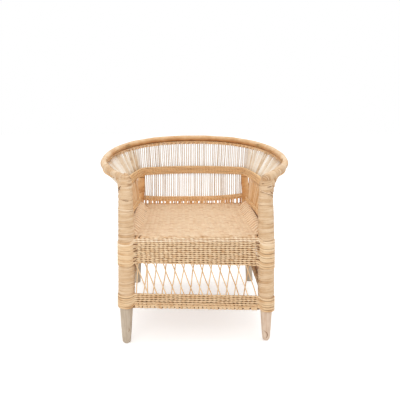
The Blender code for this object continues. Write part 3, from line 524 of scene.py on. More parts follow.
def cane(name, pale, middle, deep, low=0.45, high=0.65):
    """Cane peel: each strand has its own tone, with fibres along it and stains across the weave."""
    material, tree, shader = started(name)
    along = node(tree, "ShaderNodeUVMap", uv_map="strand")
    stretch = node(tree, "ShaderNodeMapping")
    stretch.inputs["Scale"].default_value = (30.0, 7.0, 1.0)
    tree.links.new(along.outputs["UV"], stretch.inputs["Vector"])
    fibres = noise(tree, stretch.outputs["Vector"], 1.6, 4.0)
    place_node = node(tree, "ShaderNodeTexCoord")
    stains = noise(tree, place_node.outputs["Object"], 55.0, 3.0)
    strand_tone = node(tree, "ShaderNodeAttribute", attribute_name="tone")
    fibre_shade = math_node(tree, "MULTIPLY_ADD", fibres, 0.45, -0.22)
    stain_shade = math_node(tree, "MULTIPLY_ADD", stains, 0.55, -0.27)
    mixed = math_node(tree, "ADD", strand_tone.outputs["Fac"], fibre_shade)
    factor = math_node(tree, "MULTIPLY", math_node(tree, "ADD", mixed, stain_shade), 1 / DARKEST)
    stops = [(0.15, pale), (0.5, middle), (0.9, deep), (1.25, SHADE_BROWN)]
    colour = ramp(tree, factor, [(tone / DARKEST, linear(*shade)) for tone, shade in stops])
    tree.links.new(colour, shader.inputs["Base Color"])
    finish_surface(tree, shader, fibres, 0.25, low, high)
    return material


def wood(name, pale, deep):
    """Bare wood with grain that runs up the pole."""
    material, tree, shader = started(name)
    place_node = node(tree, "ShaderNodeTexCoord")
    stretch = node(tree, "ShaderNodeMapping")
    stretch.inputs["Scale"].default_value = (260.0, 260.0, 14.0)
    tree.links.new(place_node.outputs["Object"], stretch.inputs["Vector"])
    grain = noise(tree, stretch.outputs["Vector"], 1.0, 5.0)
    blotch = noise(tree, place_node.outputs["Object"], 38.0, 2.0)
    half = math_node(tree, "MULTIPLY", grain, 0.6)
    factor = math_node(tree, "MULTIPLY_ADD", blotch, 0.4, half)
    colour = ramp(tree, factor, [(0.3, linear(*pale)), (0.75, linear(*deep))])
    tree.links.new(colour, shader.inputs["Base Color"])
    finish_surface(tree, shader, grain, 0.3, 0.55, 0.75)
    return material


wound_cane = cane("wound cane", (236, 208, 174), (222, 188, 148), (192, 148, 102))
rail_cane = cane("rail cane", (238, 210, 174), (220, 176, 126), (190, 132, 76), 0.4, 0.55)
band_cane = cane("band cane", (252, 216, 166), (240, 197, 144), (200, 146, 90))
seat_cane = cane("seat cane", (250, 226, 194), (243, 213, 176), (212, 166, 116))
skirt_cane = cane("skirt cane", (244, 214, 174), (234, 197, 152), (196, 142, 86))
stake_cane = cane("stake cane", (242, 235, 227), (231, 221, 210), (212, 190, 164))
arm_cane = cane("arm stake cane", (250, 241, 228), (242, 227, 206), (226, 200, 166))
side_cane = cane("side stake cane", (250, 222, 186), (240, 200, 150), (220, 172, 118))
post_cane = cane("post cane", (238, 192, 136), (222, 170, 114), (188, 130, 74), 0.4, 0.55)
grey_wood = wood("grey pole wood", (216, 200, 180), (176, 156, 132))
pink_wood = wood("pink pole wood", (238, 216, 194), (204, 170, 142))
hidden_wood = wood("hidden wood", (204, 164, 112), (150, 104, 60))
mark_wood = wood("dark grain mark", (170, 126, 84), (120, 82, 48))


# Poles

POLE_SIDES = 14
POLE_UNEVEN = 0.05
REAR_VISIBLE = 0.0008
FOOT_RADII = {-1.0: 0.0108, 1.0: 0.0098}
FOOT_MARK_POINTS = 12


def pole(name, centre, levels, material, nodes):
    """A hand-cut pole of uneven facets, closed at both ends. Levels are heights with radii."""
    strands = Strands()
    heights = np.array([level for level, _ in levels])
    radii = np.array([radius for _, radius in levels])
    points = np.array([centre(z) for z in heights])
    strands.add(points, FORWARD, radii, radii, 0.5, POLE_SIDES)
    axis = np.repeat(points, POLE_SIDES, axis=0)
    spokes = strands.points[0] - axis
    spokes[:, :2] *= np.tile(1 + rng.uniform(-POLE_UNEVEN, POLE_UNEVEN, POLE_SIDES), len(levels))[:, None]
    spokes[:, 2] = 0
    strands.points[0] = axis + spokes
    place(name, strands, material, nodes)


def front_levels(foot, full, tip):
    """Heights with radii of a front pole: its foot, its full size, and the rounding of its end (tip)."""
    levels = [(0.0, foot - tip), (0.4 * tip, foot - 0.45 * tip), (tip, foot - 0.12 * tip), (2 * tip, foot)]
    for z in (0.03, 0.05, 0.07, TAPER_Z):
        levels.append((z, foot + (full - foot) * z / TAPER_Z))
    levels += [(0.12, full), (0.2, FRONT_RADIUS), (0.34, FRONT_RADIUS), (0.385, 0.0115)]
    return levels


def rear_levels():
    levels = [(0.0, REAR_FOOT_RADIUS - 0.0004), (0.002, REAR_FOOT_RADIUS + REAR_VISIBLE)]
    for z in (0.05, 0.1, 0.2, 0.3, REAR_TOP_Z - 0.006):
        plain = REAR_FOOT_RADIUS + (REAR_TOP_RADIUS - REAR_FOOT_RADIUS) * z / REAR_TOP_Z
        levels.append((z, plain + REAR_VISIBLE))
    return levels


def foot_mark(name, turns, heights, sign):
    """A dark grain line on a front foot, along (turn from the front, height) points."""
    strands = Strands()
    share = np.linspace(0, 1, FOOT_MARK_POINTS)
    known = np.linspace(0, 1, len(turns))
    turn = np.interp(share, known, np.radians(turns))
    z = np.interp(share, known, heights)
    reach = np.interp(z, [0, TAPER_Z], [FOOT_RADII[sign], FRONT_RADIUS])
    spokes = np.stack([np.sin(turn), -np.cos(turn), np.zeros_like(z)], axis=1)
    axis = np.stack([sign * front_x(z), np.full_like(z, FRONT_Y), z], axis=1)
    width = 0.0011 * np.sin(np.linspace(0.15, np.pi - 0.15, FOOT_MARK_POINTS))
    strands.add(smooth(axis + spokes * reach[:, None], 2), smooth(spokes, 2), width, 0.0005, 0.5, 6)
    place(name, strands, mark_wood, [])


left_levels = front_levels(FOOT_RADII[-1.0], 0.0158, 0.0045)
right_levels = front_levels(FOOT_RADII[1.0], 0.0150, 0.0050)
pole("front_pole_left", lambda z: mirrored(front_point(z), -1.0), left_levels, grey_wood, ["front_leg_left"])
pole("front_pole_right", front_point, right_levels, pink_wood, ["front_leg_right"])
foot_mark("foot_mark_left", [28, 34, 24], [0.046, 0.037, 0.033], -1.0)
foot_mark("foot_mark_right", [-38, 8, 14, -12], [0.031, 0.024, 0.016, 0.008], 1.0)
for side, sign in SIGNS.items():
    pole("rear_pole_" + side, lambda z: mirrored(rear_point(z), sign), rear_levels(), grey_wood,
         ["rear_leg_" + side])


# Cane wound on the front legs and round the arms' ends

STRAND_HALF = 0.0011
# Tone of the linings under the leg and arm windings: painted shade in the gaps between turns.
GAP_SHADE_TONE = 0.75
LEG_POINTS = 400
LEG_PITCH = 0.0052
ELBOW_POINTS = 120
ELBOW_PITCH = 0.0064
ARM_TIP = 0.013
LEG_MARK_POINTS = 14
DOME_TOPS = {-1.0: 0.4320, 1.0: 0.4230}
LEG_LEANS = {-1.0: 0.0016, 1.0: -0.0012}
ELBOW_SLIMS = {-1.0: 0.0032, 1.0: 0.0}
ELBOW_RISES = {-1.0: 0.003, 1.0: -0.003}


def leg_axis(z, sign):
    """The middle of a front leg, as if on the right, with the small lean that it has under its arm."""
    return front_point(z) + ACROSS * np.interp(z, [0.30, 0.385], [0, LEG_LEANS[sign]])


def leg_winding(strands, sign):
    """The winding up a front leg, thinner under the arm, with a dome over its top."""
    bottom = WRAP_BOTTOM + 0.002 + SKIRT_SLOPE * sign * FRONT_FOOT_X
    top = DOME_TOPS[sign]
    path = mirrored(np.array([leg_axis(z, sign) for z in np.linspace(bottom, top, LEG_POINTS)]), sign)
    height = path[:, 2]
    wrap = FRONT_WRAP_RADIUS - STRAND_HALF
    levels = [bottom, bottom + 0.006, bottom + 0.03, 0.26, 0.30, 0.335, 0.365, 0.385, top - 0.023,
              top - 0.012, top - 0.005, top]
    sizes = [wrap - 0.0006, wrap + 0.0014, wrap + 0.0004, wrap + 0.0004, wrap - 0.0004, wrap - 0.0010,
             0.0166, 0.0154, 0.0150, 0.0130, 0.0090, 0.0030]
    under_rows = ((height > 0.206) & (height < 0.262)) | (height < 0.124)
    radius = smooth(np.interp(height, levels, sizes) - 0.0014 * under_rows, 12)
    slope = np.gradient(radius, height)
    pitch = LEG_PITCH * (1 + drift(LEG_POINTS, 22, 0.16)) / np.hypot(1, slope)
    lining(strands, path[::4], radius[::4] - 0.0004, GAP_SHADE_TONE, 16)
    wind(strands, path, radius, pitch, STRAND_HALF, 0.45)


def elbow(strands, sign):
    """Strips that bend from the leg into the arm, outside the dome."""
    bend, end = at_lengths(RAIL_HALF_PATH, np.array([0.020, 0.066]))
    bend = bend + UP * ELBOW_RISES[sign]
    right = bezier(leg_axis(0.352, sign), leg_axis(0.400, sign), bend, end, ELBOW_POINTS)
    path = mirrored(right, sign)
    share = lengths(path) / lengths(path)[-1]
    radius = np.interp(share, [0, 0.25, 0.55, 0.8, 1], [0.0150, 0.0158, 0.0136, 0.0102, 0.0091])
    radius = radius - np.interp(share, [0.25, 0.6], [0, ELBOW_SLIMS[sign]])
    pitch = ELBOW_PITCH * (1 + drift(ELBOW_POINTS, 8, 0.15))
    lining(strands, path, radius - 0.0004, GAP_SHADE_TONE, 16)
    # The elbow's tone, deeper than the leg winding's, is painted shade for the bend and its gaps.
    wind(strands, path, radius, pitch, STRAND_HALF, 0.56, 0.0030, 0.0005, 0.54)


def arm_end(strands, sign):
    """Strips on the first stretch of the arm, from its rounded tip over the leg."""
    start = RAIL_HALF_PATH[0]
    tip = start - unit(RAIL_HALF_PATH[4] - start) * ARM_TIP
    arm = at_lengths(RAIL_HALF_PATH, np.linspace(0.001, 0.112, 112))
    path = mirrored(np.concatenate([line(tip, start, 14), arm]), sign)
    run = lengths(path)
    radius = np.interp(run, [0, 0.004, 0.009, ARM_TIP, 0.04, 0.075, 0.12],
                       [0.0020, 0.0080, 0.0106, 0.0114, 0.0106, 0.0094, 0.0087])
    slims = np.array([0, 0.7, 0.6, 0]) * ELBOW_SLIMS[sign]
    radius = radius - np.interp(run, [ARM_TIP, 0.04, 0.075, 0.12], slims)
    pitch = np.interp(run, [0, 0.02, 0.05], [0.0036, 0.0060, 0.0150]) * (1 + drift(len(path), 6, 0.15))
    lining(strands, path, radius - 0.0003, GAP_SHADE_TONE, 14)
    wind(strands, path, radius, pitch, 0.0007, 0.48, 0.0020, 0.0002)


def leg_mark(strands, sign, z, rise, turns, half_width, tone):
    """A stray turn, or the painted shade of an open gap, on a front leg, between two turns from the front
    (outward is plus).
    """
    turn = np.radians(np.linspace(turns[0], turns[1], LEG_MARK_POINTS))
    spokes = np.stack([sign * np.sin(turn), -np.cos(turn), np.zeros_like(turn)], axis=1)
    radius = np.interp(z, [0.30, 0.335, 0.365, 0.39], [0.0200, 0.0194, 0.0182, 0.0170])
    climb = UP * np.linspace(-rise / 2, rise / 2, LEG_MARK_POINTS)[:, None]
    points = mirrored(leg_axis(z, sign), sign) + spokes * radius + climb
    taper = np.sin(np.linspace(0.35, np.pi - 0.35, LEG_MARK_POINTS))
    strands.add(points, spokes, half_width * taper, 0.0009, tone, 6)


# Stray pale turns, and short open gaps whose dark tone is painted shade: height, rise, turns from the front,
# half width and tone
LEG_MARKS = {
    -1.0: [
        (0.3475, -0.005, (85, -75), 0.0026, 0.0),
        (0.371, -0.0012, (18, -28), 0.0006, 1.3),
        (0.396, 0.007, (78, 42), 0.0007, 1.3),
        (0.401, 0.007, (70, 34), 0.0006, 1.3),
        (0.408, 0.001, (-24, -56), 0.0005, 1.2),
    ],
    1.0: [
        (0.409, 0.003, (-42, -22), 0.0007, 1.3),
        (0.4015, 0.002, (5, 50), 0.0007, 1.3),
        (0.386, -0.014, (-70, 80), 0.0014, 0.0),
        (0.3835, -0.014, (-50, 75), 0.0006, 1.1),
        (0.3865, -0.007, (30, 62), 0.0006, 1.3),
    ],
}


def front_leg(strands, sign):
    leg_winding(strands, sign)
    elbow(strands, sign)
    for mark in LEG_MARKS[sign]:
        leg_mark(strands, sign, *mark)
    arm_end(strands, sign)


# Rows of the front skirt, which run on round the front legs

HUG_RADIUS = 0.0197
HUG_START = math.radians(-24)
HUG_END = math.radians(-205)
HUG_POINTS = 22
HUG_EDGE = 0.0175
FLAT_POINTS = 60
PANEL_INSET = 0.0265


def front_row(z, y, normal, drop, pitch):
    """Points, normals and twist of one row, from the back of one front leg to the back of the other."""
    reach = front_x(z) - PANEL_INSET
    flat = line((-reach, y, z), (reach, y, z), FLAT_POINTS)
    flat_normals = np.tile(np.asarray(normal, dtype=float), (FLAT_POINTS, 1))
    angle = np.linspace(HUG_START, HUG_END, HUG_POINTS)
    share = np.linspace(0, 1, HUG_POINTS)
    arcs = []
    arc_normals = []
    for sign in (-1, 1):
        out = np.stack([-sign * np.cos(angle), np.sin(angle), np.zeros(HUG_POINTS)], axis=1)
        centre = np.array([sign * front_x(z), FRONT_Y, z])
        fall = drop * rng.uniform(0.8, 1.2) * np.minimum(share / 0.18, 1)
        fall = fall + rng.uniform(-0.001, 0.001) * share
        arcs.append(centre + out * HUG_RADIUS - UP * fall[:, None])
        arc_normals.append(out)
    points = np.concatenate([arcs[0][::-1], flat, arcs[1]])
    normals = np.concatenate([arc_normals[0][::-1], flat_normals, arc_normals[1]])
    known = lengths(points)
    wanted = np.linspace(0, known[-1], round(known[-1] / (pitch / 4)))
    points = smooth(at_lengths(points, wanted), 3)
    normals = unit(smooth(interp_rows(wanted, known, normals), 3))
    points[:, 2] += SKIRT_SLOPE * skirt_share(z) * points[:, 0]
    held = pitch * math.floor((front_x(z) - HUG_EDGE) / pitch)
    return points, normals, np.pi * np.clip(points[:, 0], -held, held) / pitch


def front_rows(strands, z, y, normal, drop, weave, turned=1):
    points, normals, phase = front_row(z, y, normal, drop, weave.pitch)
    hug = np.clip((np.abs(points[:, 0]) - front_x(z) + HUG_EDGE) / 0.004, 0, 1)
    phase = turned * phase + rng.uniform(-0.3, 0.3) + drift(len(phase), 11, 0.18) * (1 - hug)
    points = points + UP * (drift(len(phase), 9, 0.0004) * (1 - hug))[:, None]
    twine(strands, points, normals, phase, weave, hug)


APRON_ROW = 0.0053
APRON_TOP = 0.2637
WARP_HALF = 0.0056
# A dark tone for the strips behind the rows: painted shade seen through the gaps.
WARP_SHADE_TONE = 1.05
WARP_THICK = 0.0006
WARP_TUCK = 0.001
SLIT_HEIGHTS = [0.2640, 0.2535, 0.2480, 0.2310, 0.2220]
SLIT_HALF = 0.0012


def warp_places(reach, pitch):
    """Middles of the gaps between stakes, where the strips behind the rows show as painted shade."""
    count = int(reach / pitch)
    return pitch * (np.arange(-count, count) + 0.5)


def apron_front(strands):
    heights = np.arange(APRON_TOP, APRON_BOTTOM, -APRON_ROW)
    for z in heights:
        share = (APRON_TOP - z) / (APRON_TOP - APRON_BOTTOM)
        y = FRONT_Y - 0.0108 + 0.0022 * share
        front_rows(strands, z, y, FORWARD, 0.006 - 0.001 * share, APRON_WEAVE)
    for x in warp_places(front_x(0.23) - 0.024, APRON_WEAVE.pitch):
        low = APRON_BOTTOM + SKIRT_SLOPE * x + WARP_TUCK
        warp = line((x, FRONT_Y - 0.0090, APRON_TOP + 0.004), (x, FRONT_Y - 0.0068, low), 6)
        strands.add(warp, FORWARD, WARP_HALF, WARP_THICK, WARP_SHADE_TONE)
    # Dark slits beside the legs: painted shadow in the gaps between the apron rows and the legs.
    for sign in (-1, 1):
        for z in SLIT_HEIGHTS:
            inner = front_x(z) - rng.uniform(0.024, 0.030)
            outer = front_x(z) - 0.0165
            rise = rng.uniform(0.002, 0.004)
            slit_shadow = line((sign * outer, FRONT_Y - 0.0128, z - rise), (sign * inner, FRONT_Y - 0.0132, z), 6)
            strands.add(slit_shadow, FORWARD, SLIT_HALF * np.sin(np.linspace(0.3, 2.8, 6)), 0.0008, 1.35, 6)


SIDE_ENDS = {
    "right": lambda z: (front_point(z), rear_point(z)),
    "back": lambda z: (rear_point(z), mirrored(rear_point(z), -1)),
    "left": lambda z: (mirrored(rear_point(z), -1), mirrored(front_point(z), -1)),
}
FRONT_CLEARANCE = 0.0185
REAR_CLEARANCE = 0.0110


def ends_of(side, front, rear):
    """The values at the start and the end of a side, from those at the front and the rear legs."""
    return {"right": (front, rear), "back": (rear, rear), "left": (rear, front)}[side]


def side_row(side, z_start, z_end, outset):
    """Ends of a row on one of the other sides, at the surfaces of the two legs' windings."""
    start = SIDE_ENDS[side](z_start)[0]
    end = SIDE_ENDS[side](z_end)[1]
    run = end - start
    run[2] = 0
    way = unit(run)
    out = np.cross(way, UP)
    clear = ends_of(side, FRONT_CLEARANCE, REAR_CLEARANCE)
    outsets = ends_of(side, FRONT_OUTSET, REAR_OUTSET)
    start = start + way * clear[0] + out * (outsets[0] + outset)
    end = end - way * clear[1] + out * (outsets[1] + outset)
    return start, end, out


def panel_rows(strands, side, heights, outset, weave, turned=1):
    start, end, out = side_row(side, heights[0], heights[1], outset)
    count = max(6, round(np.linalg.norm(end - start) / (weave.pitch / 4)))
    points = line(start, end, count)
    phase = np.pi / 2 + np.pi * lengths(points) / weave.pitch
    twine(strands, points, out, turned * phase, weave)


def panel_warps(strands, low, high, out, pitch):
    """Flat strips behind the rows of a panel, between its low and its high edge, dark as painted shade in
    the gaps.
    """
    count = round(np.linalg.norm(low[1] - low[0]) / pitch)
    for share in np.arange(count + 1) / count:
        foot = low[0] * (1 - share) + low[1] * share
        head = high[0] * (1 - share) + high[1] * share
        strands.add(line(foot, head, 4), out, WARP_HALF, WARP_THICK, WARP_SHADE_TONE)


def apron_other(strands, side):
    tops = np.array(ends_of(side, FRONT_RAIL_Z, BACK_RAIL_Z)) - 0.009
    rows = round((tops.mean() - APRON_BOTTOM) / APRON_ROW)
    for row in range(rows):
        share = (row + 0.5) / rows
        panel_rows(strands, side, tops * (1 - share) + APRON_BOTTOM * share, 0.0030, APRON_WEAVE)
    *low, out = side_row(side, APRON_BOTTOM, APRON_BOTTOM, 0.0010)
    *high, _ = side_row(side, tops[0], tops[1], 0.0010)
    panel_warps(strands, low, np.array(high) + UP * WARP_TUCK, out, APRON_WEAVE.pitch)


# Bottom bands, twined over a rod that is wound with peel

BAND_HEIGHTS = [0.1270, 0.1219, 0.1168, 0.1117, 0.1066, 0.1015]
BAND_FORWARD = [0.0070, 0.0071, 0.0076, 0.0090, 0.0116, 0.0138]
ROD_PITCH = 0.0100
ROD_COVER = 0.0076
ROD_POINTS = 200


def rod_cover(strands, start, end):
    path = line(start, end, ROD_POINTS)
    pitch = ROD_PITCH * (1 + drift(ROD_POINTS, 14, 0.14))
    # The lining's dark tone is painted shade between the turns of the rod's winding.
    lining(strands, path, ROD_COVER - 0.0006, 1.3)
    wind(strands, path, np.full(ROD_POINTS, ROD_COVER), pitch, 0.0012, 0.36, 0.0008, 0.0003, 0.44)


def band_front(strands):
    for row, (z, forward) in enumerate(zip(BAND_HEIGHTS, BAND_FORWARD)):
        front_rows(strands, z, FRONT_Y - forward, FORWARD, 0.003 + 0.0006 * row, BAND_WEAVE, (-1) ** row)
    reach = front_x(STRETCHER_Z) - 0.017
    y = FRONT_Y - FRONT_OUTSET
    ends = [np.array([x, y, STRETCHER_Z + SKIRT_SLOPE * x]) for x in (reach, -reach)]
    rod_cover(strands, *ends)
    for x in warp_places(reach - 0.004, BAND_WEAVE.pitch):
        slope = SKIRT_SLOPE * x
        warp = line((x, y, BAND_TOP + slope - WARP_TUCK), (x, y, STRETCHER_Z + slope), 4)
        strands.add(warp, FORWARD, WARP_HALF, WARP_THICK, WARP_SHADE_TONE)


def band_other(strands, side):
    for row, (z, forward) in enumerate(zip(BAND_HEIGHTS, BAND_FORWARD)):
        panel_rows(strands, side, (z, z), forward - FRONT_OUTSET, BAND_WEAVE, (-1) ** row)
    *low, out = side_row(side, STRETCHER_Z, STRETCHER_Z, 0.0)
    rod_cover(strands, *low)
    *high, _ = side_row(side, BAND_TOP, BAND_TOP, 0.0)
    panel_warps(strands, low, np.array(high) - UP * WARP_TUCK, out, BAND_WEAVE.pitch)


# Lattice of crossed strands

CROSSING_PITCH = 0.02244
FIRST_CROSSING = -0.1436
UPPER_CROSSING = 0.0150
LOWER_CROSSING = 0.0210
LATTICE_SKEW = 0.72
LATTICE_HALF = 0.0016
LATTICE_TUCK = 0.004
LATTICE_LIFT = 0.0011
CROSSING_JITTER = 0.0012


def lattice(strands, low, high, out, first, pitch, reach, count):
    """Two sets of slanted strands between the band (low) and the apron (high), crossing twice."""
    run = unit(high[1] - high[0])
    middle_low = (low[0] + low[1]) / 2
    middle_high = (high[0] + high[1]) / 2
    fall = (middle_high - middle_low)[2]
    between = fall - UPPER_CROSSING - LOWER_CROSSING
    for slant, offset in ((LATTICE_SKEW, LATTICE_LIFT), (LATTICE_SKEW - 1, -LATTICE_LIFT)):
        slope = slant * pitch / between
        for index in range(count):
            upper = first + pitch * index + rng.uniform(-CROSSING_JITTER, CROSSING_JITTER)
            at_high = np.clip(upper - slope * UPPER_CROSSING, -reach, reach)
            at_low = np.clip(upper + slope * (fall - UPPER_CROSSING), -reach, reach)
            foot = middle_low + run * at_low - UP * LATTICE_TUCK
            head = middle_high + run * at_high + UP * LATTICE_TUCK
            path = line(foot, head, 10) + out * offset + run * drift(10, 1, 0.0005)[:, None]
            strands.add(path, out, LATTICE_HALF, 0.0010, rng.uniform(0.2, 0.7), 6)


def lattice_front(strands):
    y = FRONT_Y - FRONT_OUTSET - 0.001
    reach = front_x(0.17) - 0.0225
    low, high = [np.array([(-reach, y, z), (reach, y, z)]) for z in (BAND_TOP, APRON_BOTTOM)]
    lattice(strands, low, high, FORWARD, FIRST_CROSSING, CROSSING_PITCH, reach, 13)
    upright = line((-0.1215, y, BAND_TOP - LATTICE_TUCK), (-0.1205, y, APRON_BOTTOM + LATTICE_TUCK), 8)
    strands.add(upright, FORWARD, LATTICE_HALF, 0.0011, 0.45, 6)
    for points in strands.points:
        points[:, 2] += SKIRT_SLOPE * points[:, 0]


def lattice_other(strands, side):
    *low, out = side_row(side, BAND_TOP, BAND_TOP, 0.0)
    *high, _ = side_row(side, APRON_BOTTOM, APRON_BOTTOM, 0.0)
    length = np.linalg.norm(high[1] - high[0])
    count = round(length / CROSSING_PITCH)
    pitch = length / count
    first = -length / 2 + pitch / 2
    lattice(strands, low, high, out, first, pitch, length / 2 - 0.002, count)


# Seat: rows twined from side to side, rolled over the front and back rails, with bolsters at the sides

SEAT_STEPS = 3.4
ROLL_RADIUS = 0.0112
FRONT_RAIL_Z = SEAT_Z - SEAT_RAIL_DROP
BACK_RAIL_Z = FRONT_RAIL_Z - SEAT_DROP
ROW_DEPTH = SEAT_WEAVE.lift + SEAT_WEAVE.thick
BOLSTER_PITCH = 0.0066
BOLSTER_GROUP = 0.0198
BOLSTER_SLANT = 0.030
BOLSTER_START = 0.026
BOLSTER_END = 0.016
STRAND_WIDE = 0.0025
STRAND_THICK = 0.0021
VALLEY_DEPTH = 0.0012
CREST_Z = 0.2865
CREST_OUT = 0.001
CREST_INSIDE = 0.026
CREST_OUTSIDE = 0.0135
BACK_CLIMB = 0.0050
BACK_CLEARANCE = 0.0125
POCKET_DEPTH = 0.018
POCKET_LAP = 0.004
LEFT_POCKET = 0.134
RIGHT_POCKET = 0.143


def side_rail_x(depth):
    front = front_x(FRONT_RAIL_Z)
    rear = rear_x(BACK_RAIL_Z)
    return front + (rear - front) * depth / SEAT_DEPTH


def seat_row(strands, start, end, normal, weave):
    """A row from side to side. The stakes under it lie at even steps from the seat's middle."""
    count = round(np.linalg.norm(np.asarray(end) - np.asarray(start)) * SEAT_STEPS / weave.pitch)
    points = line(start, end, count)
    points = points + np.asarray(normal) * drift(count, 6, 0.0003)[:, None]
    twine(strands, points, normal, np.pi * points[:, 0] / weave.pitch, weave)


def seat_surface(depth):
    """The top of the weave, which climbs onto the roll at the back."""
    climb = np.clip((depth - SEAT_DEPTH + 0.045) / 0.045, 0, 1)
    return seat_top(depth) - ROW_DEPTH + BACK_CLIMB * climb ** 2


def seat_flat(strands):
    for row in range(1, SEAT_ROWS):
        depth = SEAT_DEPTH * row / SEAT_ROWS
        half = side_rail_x(depth) - BOLSTER_WIDTH + 0.003
        left = half if depth > POCKET_DEPTH else LEFT_POCKET
        right = half if depth > POCKET_DEPTH else RIGHT_POCKET
        z = seat_surface(depth)
        seat_row(strands, (-left, FRONT_Y + depth, z), (right, FRONT_Y + depth, z), UP, SEAT_WEAVE)


def seat_rolls(strands):
    for angle in np.radians([92, 117, 142, 167]):
        out = np.array([0.0, math.cos(angle), math.sin(angle)])
        y, z = FRONT_Y + ROLL_RADIUS * out[1], FRONT_RAIL_Z + ROLL_RADIUS * out[2]
        if angle < math.radians(130):
            seat_row(strands, (-LEFT_POCKET, y, z), (RIGHT_POCKET, y, z), out, ROLL_WEAVE)
        else:
            front_rows(strands, z, y, out, 0.007, APRON_WEAVE)
    for angle in np.radians([86, 64, 42, 20, -2]):
        out = np.array([0.0, math.cos(angle), math.sin(angle)])
        y = FRONT_Y + SEAT_DEPTH + ROLL_RADIUS * out[1]
        z = BACK_RAIL_Z + (ROLL_RADIUS + BACK_CLIMB) * out[2]
        reach = rear_x(z) - BACK_CLEARANCE
        seat_row(strands, (-reach, y, z), (reach, y, z), out, ROLL_WEAVE)


def seat_warps(strands):
    """Flat strips from front to back under the rows, which close the gaps between them in a deeper tone as
    painted shade.
    """
    radius = ROLL_RADIUS - 0.0018
    turns = np.radians(np.linspace(195, 90, 7))
    front_y, front_z = radius * np.cos(turns), FRONT_RAIL_Z + radius * np.sin(turns)
    depth = np.linspace(0.012, SEAT_DEPTH - 0.012, 24)
    y = np.concatenate([front_y, depth, SEAT_DEPTH - front_y[::-1]])
    z = np.concatenate([front_z, seat_surface(depth) - 0.0018, front_z[::-1] - SEAT_DROP])
    along = tangents(np.stack([np.zeros_like(y), y, z], axis=1))
    normals = np.cross(ACROSS, along)
    for x in warp_places(0.152, SEAT_WEAVE.pitch):
        path = np.stack([np.full_like(y, x), FRONT_Y + y, z], axis=1)
        strands.add(path, normals, WARP_HALF, WARP_THICK, 0.8, 4)


def bolster(strands, sign):
    """Slanted strands over a side rail, from the mat's edge up over a crest and round to the outside."""
    turns = np.radians(np.linspace(152, -20, 16))
    for depth in np.arange(BOLSTER_START, SEAT_DEPTH - BOLSTER_END, BOLSTER_PITCH):
        axis_x = side_rail_x(depth) + CREST_OUT
        axis_z = FRONT_RAIL_Z - SEAT_DROP * depth / SEAT_DEPTH
        swell = min(1.0, (depth - BOLSTER_START + 0.02) / 0.07)
        valley = math.cos(np.pi * (depth - BOLSTER_START) / BOLSTER_GROUP) ** 6
        crest = np.interp(swell, [0, 1], [BOLSTER_RADIUS, CREST_Z - axis_z])
        crest = crest - STRAND_THICK - VALLEY_DEPTH * valley
        reach = np.where(np.cos(turns) < 0, CREST_INSIDE, CREST_OUTSIDE)
        x = np.concatenate([[axis_x - CREST_INSIDE - 0.006], axis_x + reach * np.cos(turns)])
        z = np.concatenate([[seat_top(depth) - 0.0030], axis_z + crest * np.sin(turns)])
        room = SEAT_DEPTH - BOLSTER_END - depth
        slant = min(BOLSTER_SLANT, 2 * room, 4 * (depth - BOLSTER_START) + 0.010)
        y = FRONT_Y + depth + slant * (np.linspace(0, 1, len(x)) - 0.6) * 0.9
        points = smooth(resample(np.stack([x, y, z], axis=1), 0.0042), 1)
        out = points - np.array([axis_x, 0.0, axis_z])
        out[:, 1] = 0
        out = mirrored(unit(out + UP * 0.004), sign)
        path = mirrored(points + UP * drift(len(points), 1, 0.0004)[:, None], sign)
        # Strands in the valleys are darker: painted shade in the creases between groups.
        tone = 0.34 + 0.55 * valley + rng.uniform(-0.1, 0.1)
        strands.add(path, out, STRAND_WIDE, STRAND_THICK, tone, 6)
        # A dark strip under each gap between strands: painted shade between them.
        shade_beside = path + np.array([0.0, BOLSTER_PITCH / 2, 0.0]) - out * STRAND_THICK
        strands.add(shade_beside, out, STRAND_WIDE, 0.0007, 1.0, 4)


def corner_pockets(strands):
    """Strips of painted shadow in the gaps between the front corners of the seat and the legs."""
    for sign, inner in ((-1, LEFT_POCKET), (1, RIGHT_POCKET)):
        outer = front_x(SEAT_Z) - 0.012
        x = sign * (inner + outer) / 2
        front = (x, FRONT_Y - POCKET_LAP, SEAT_Z - 0.0075)
        back = (x, FRONT_Y + POCKET_DEPTH + POCKET_LAP, SEAT_Z - 0.0060)
        strands.add(line(front, back, 4), UP, (outer - inner) / 2 + POCKET_LAP, WARP_THICK, DARKEST, 4)


def seat(strands):
    seat_flat(strands)
    seat_rolls(strands)
    seat_warps(strands)
    corner_pockets(strands)
    for sign in (-1.0, 1.0):
        bolster(strands, sign)


# Bands round the back and arms

PEG_PITCH = 0.0056
FINE_ROW = 0.0041
MID_FACE = 0.0030


def band_round(strands, path, offsets, weave, face=0.0):
    """Rows along a band, at heights from its middle, on one face of it or in its middle."""
    dense = resample(path, weave.pitch / 4)
    normals = outward(dense)
    run = lengths(dense)
    for row, offset in enumerate(offsets):
        phase = np.pi * run / weave.pitch * (-1) ** row
        points = dense + UP * offset + normals * (face + drift(len(dense), 12, 0.0004))[:, None]
        twine(strands, points, normals, phase, weave)


def middle_band(strands):
    """A band woven on both faces, with the hoop between them."""
    lead = middle_side(np.linspace(0.016, MID_START, 8))[:-1]
    path = both_halves(np.concatenate([lead, MID_HALF_PATH]))
    for face in (-MID_FACE, MID_FACE):
        band_round(strands, path, FINE_ROW * np.array([2.5, 1.5, 0.5, -0.5, -1.5, -2.5]), FINE_WEAVE, face)
    strands.add(path, outward(path), 2.4 * FINE_ROW, MID_FACE, 0.5, 6)


ROPE_START = 0.060


def rope_drop(run):
    """How far the band lies under the rail. Near the front legs it tucks up behind the arm."""
    return np.interp(run, [0.04, 0.13], [0.0050, RAIL_BAND_DROP])


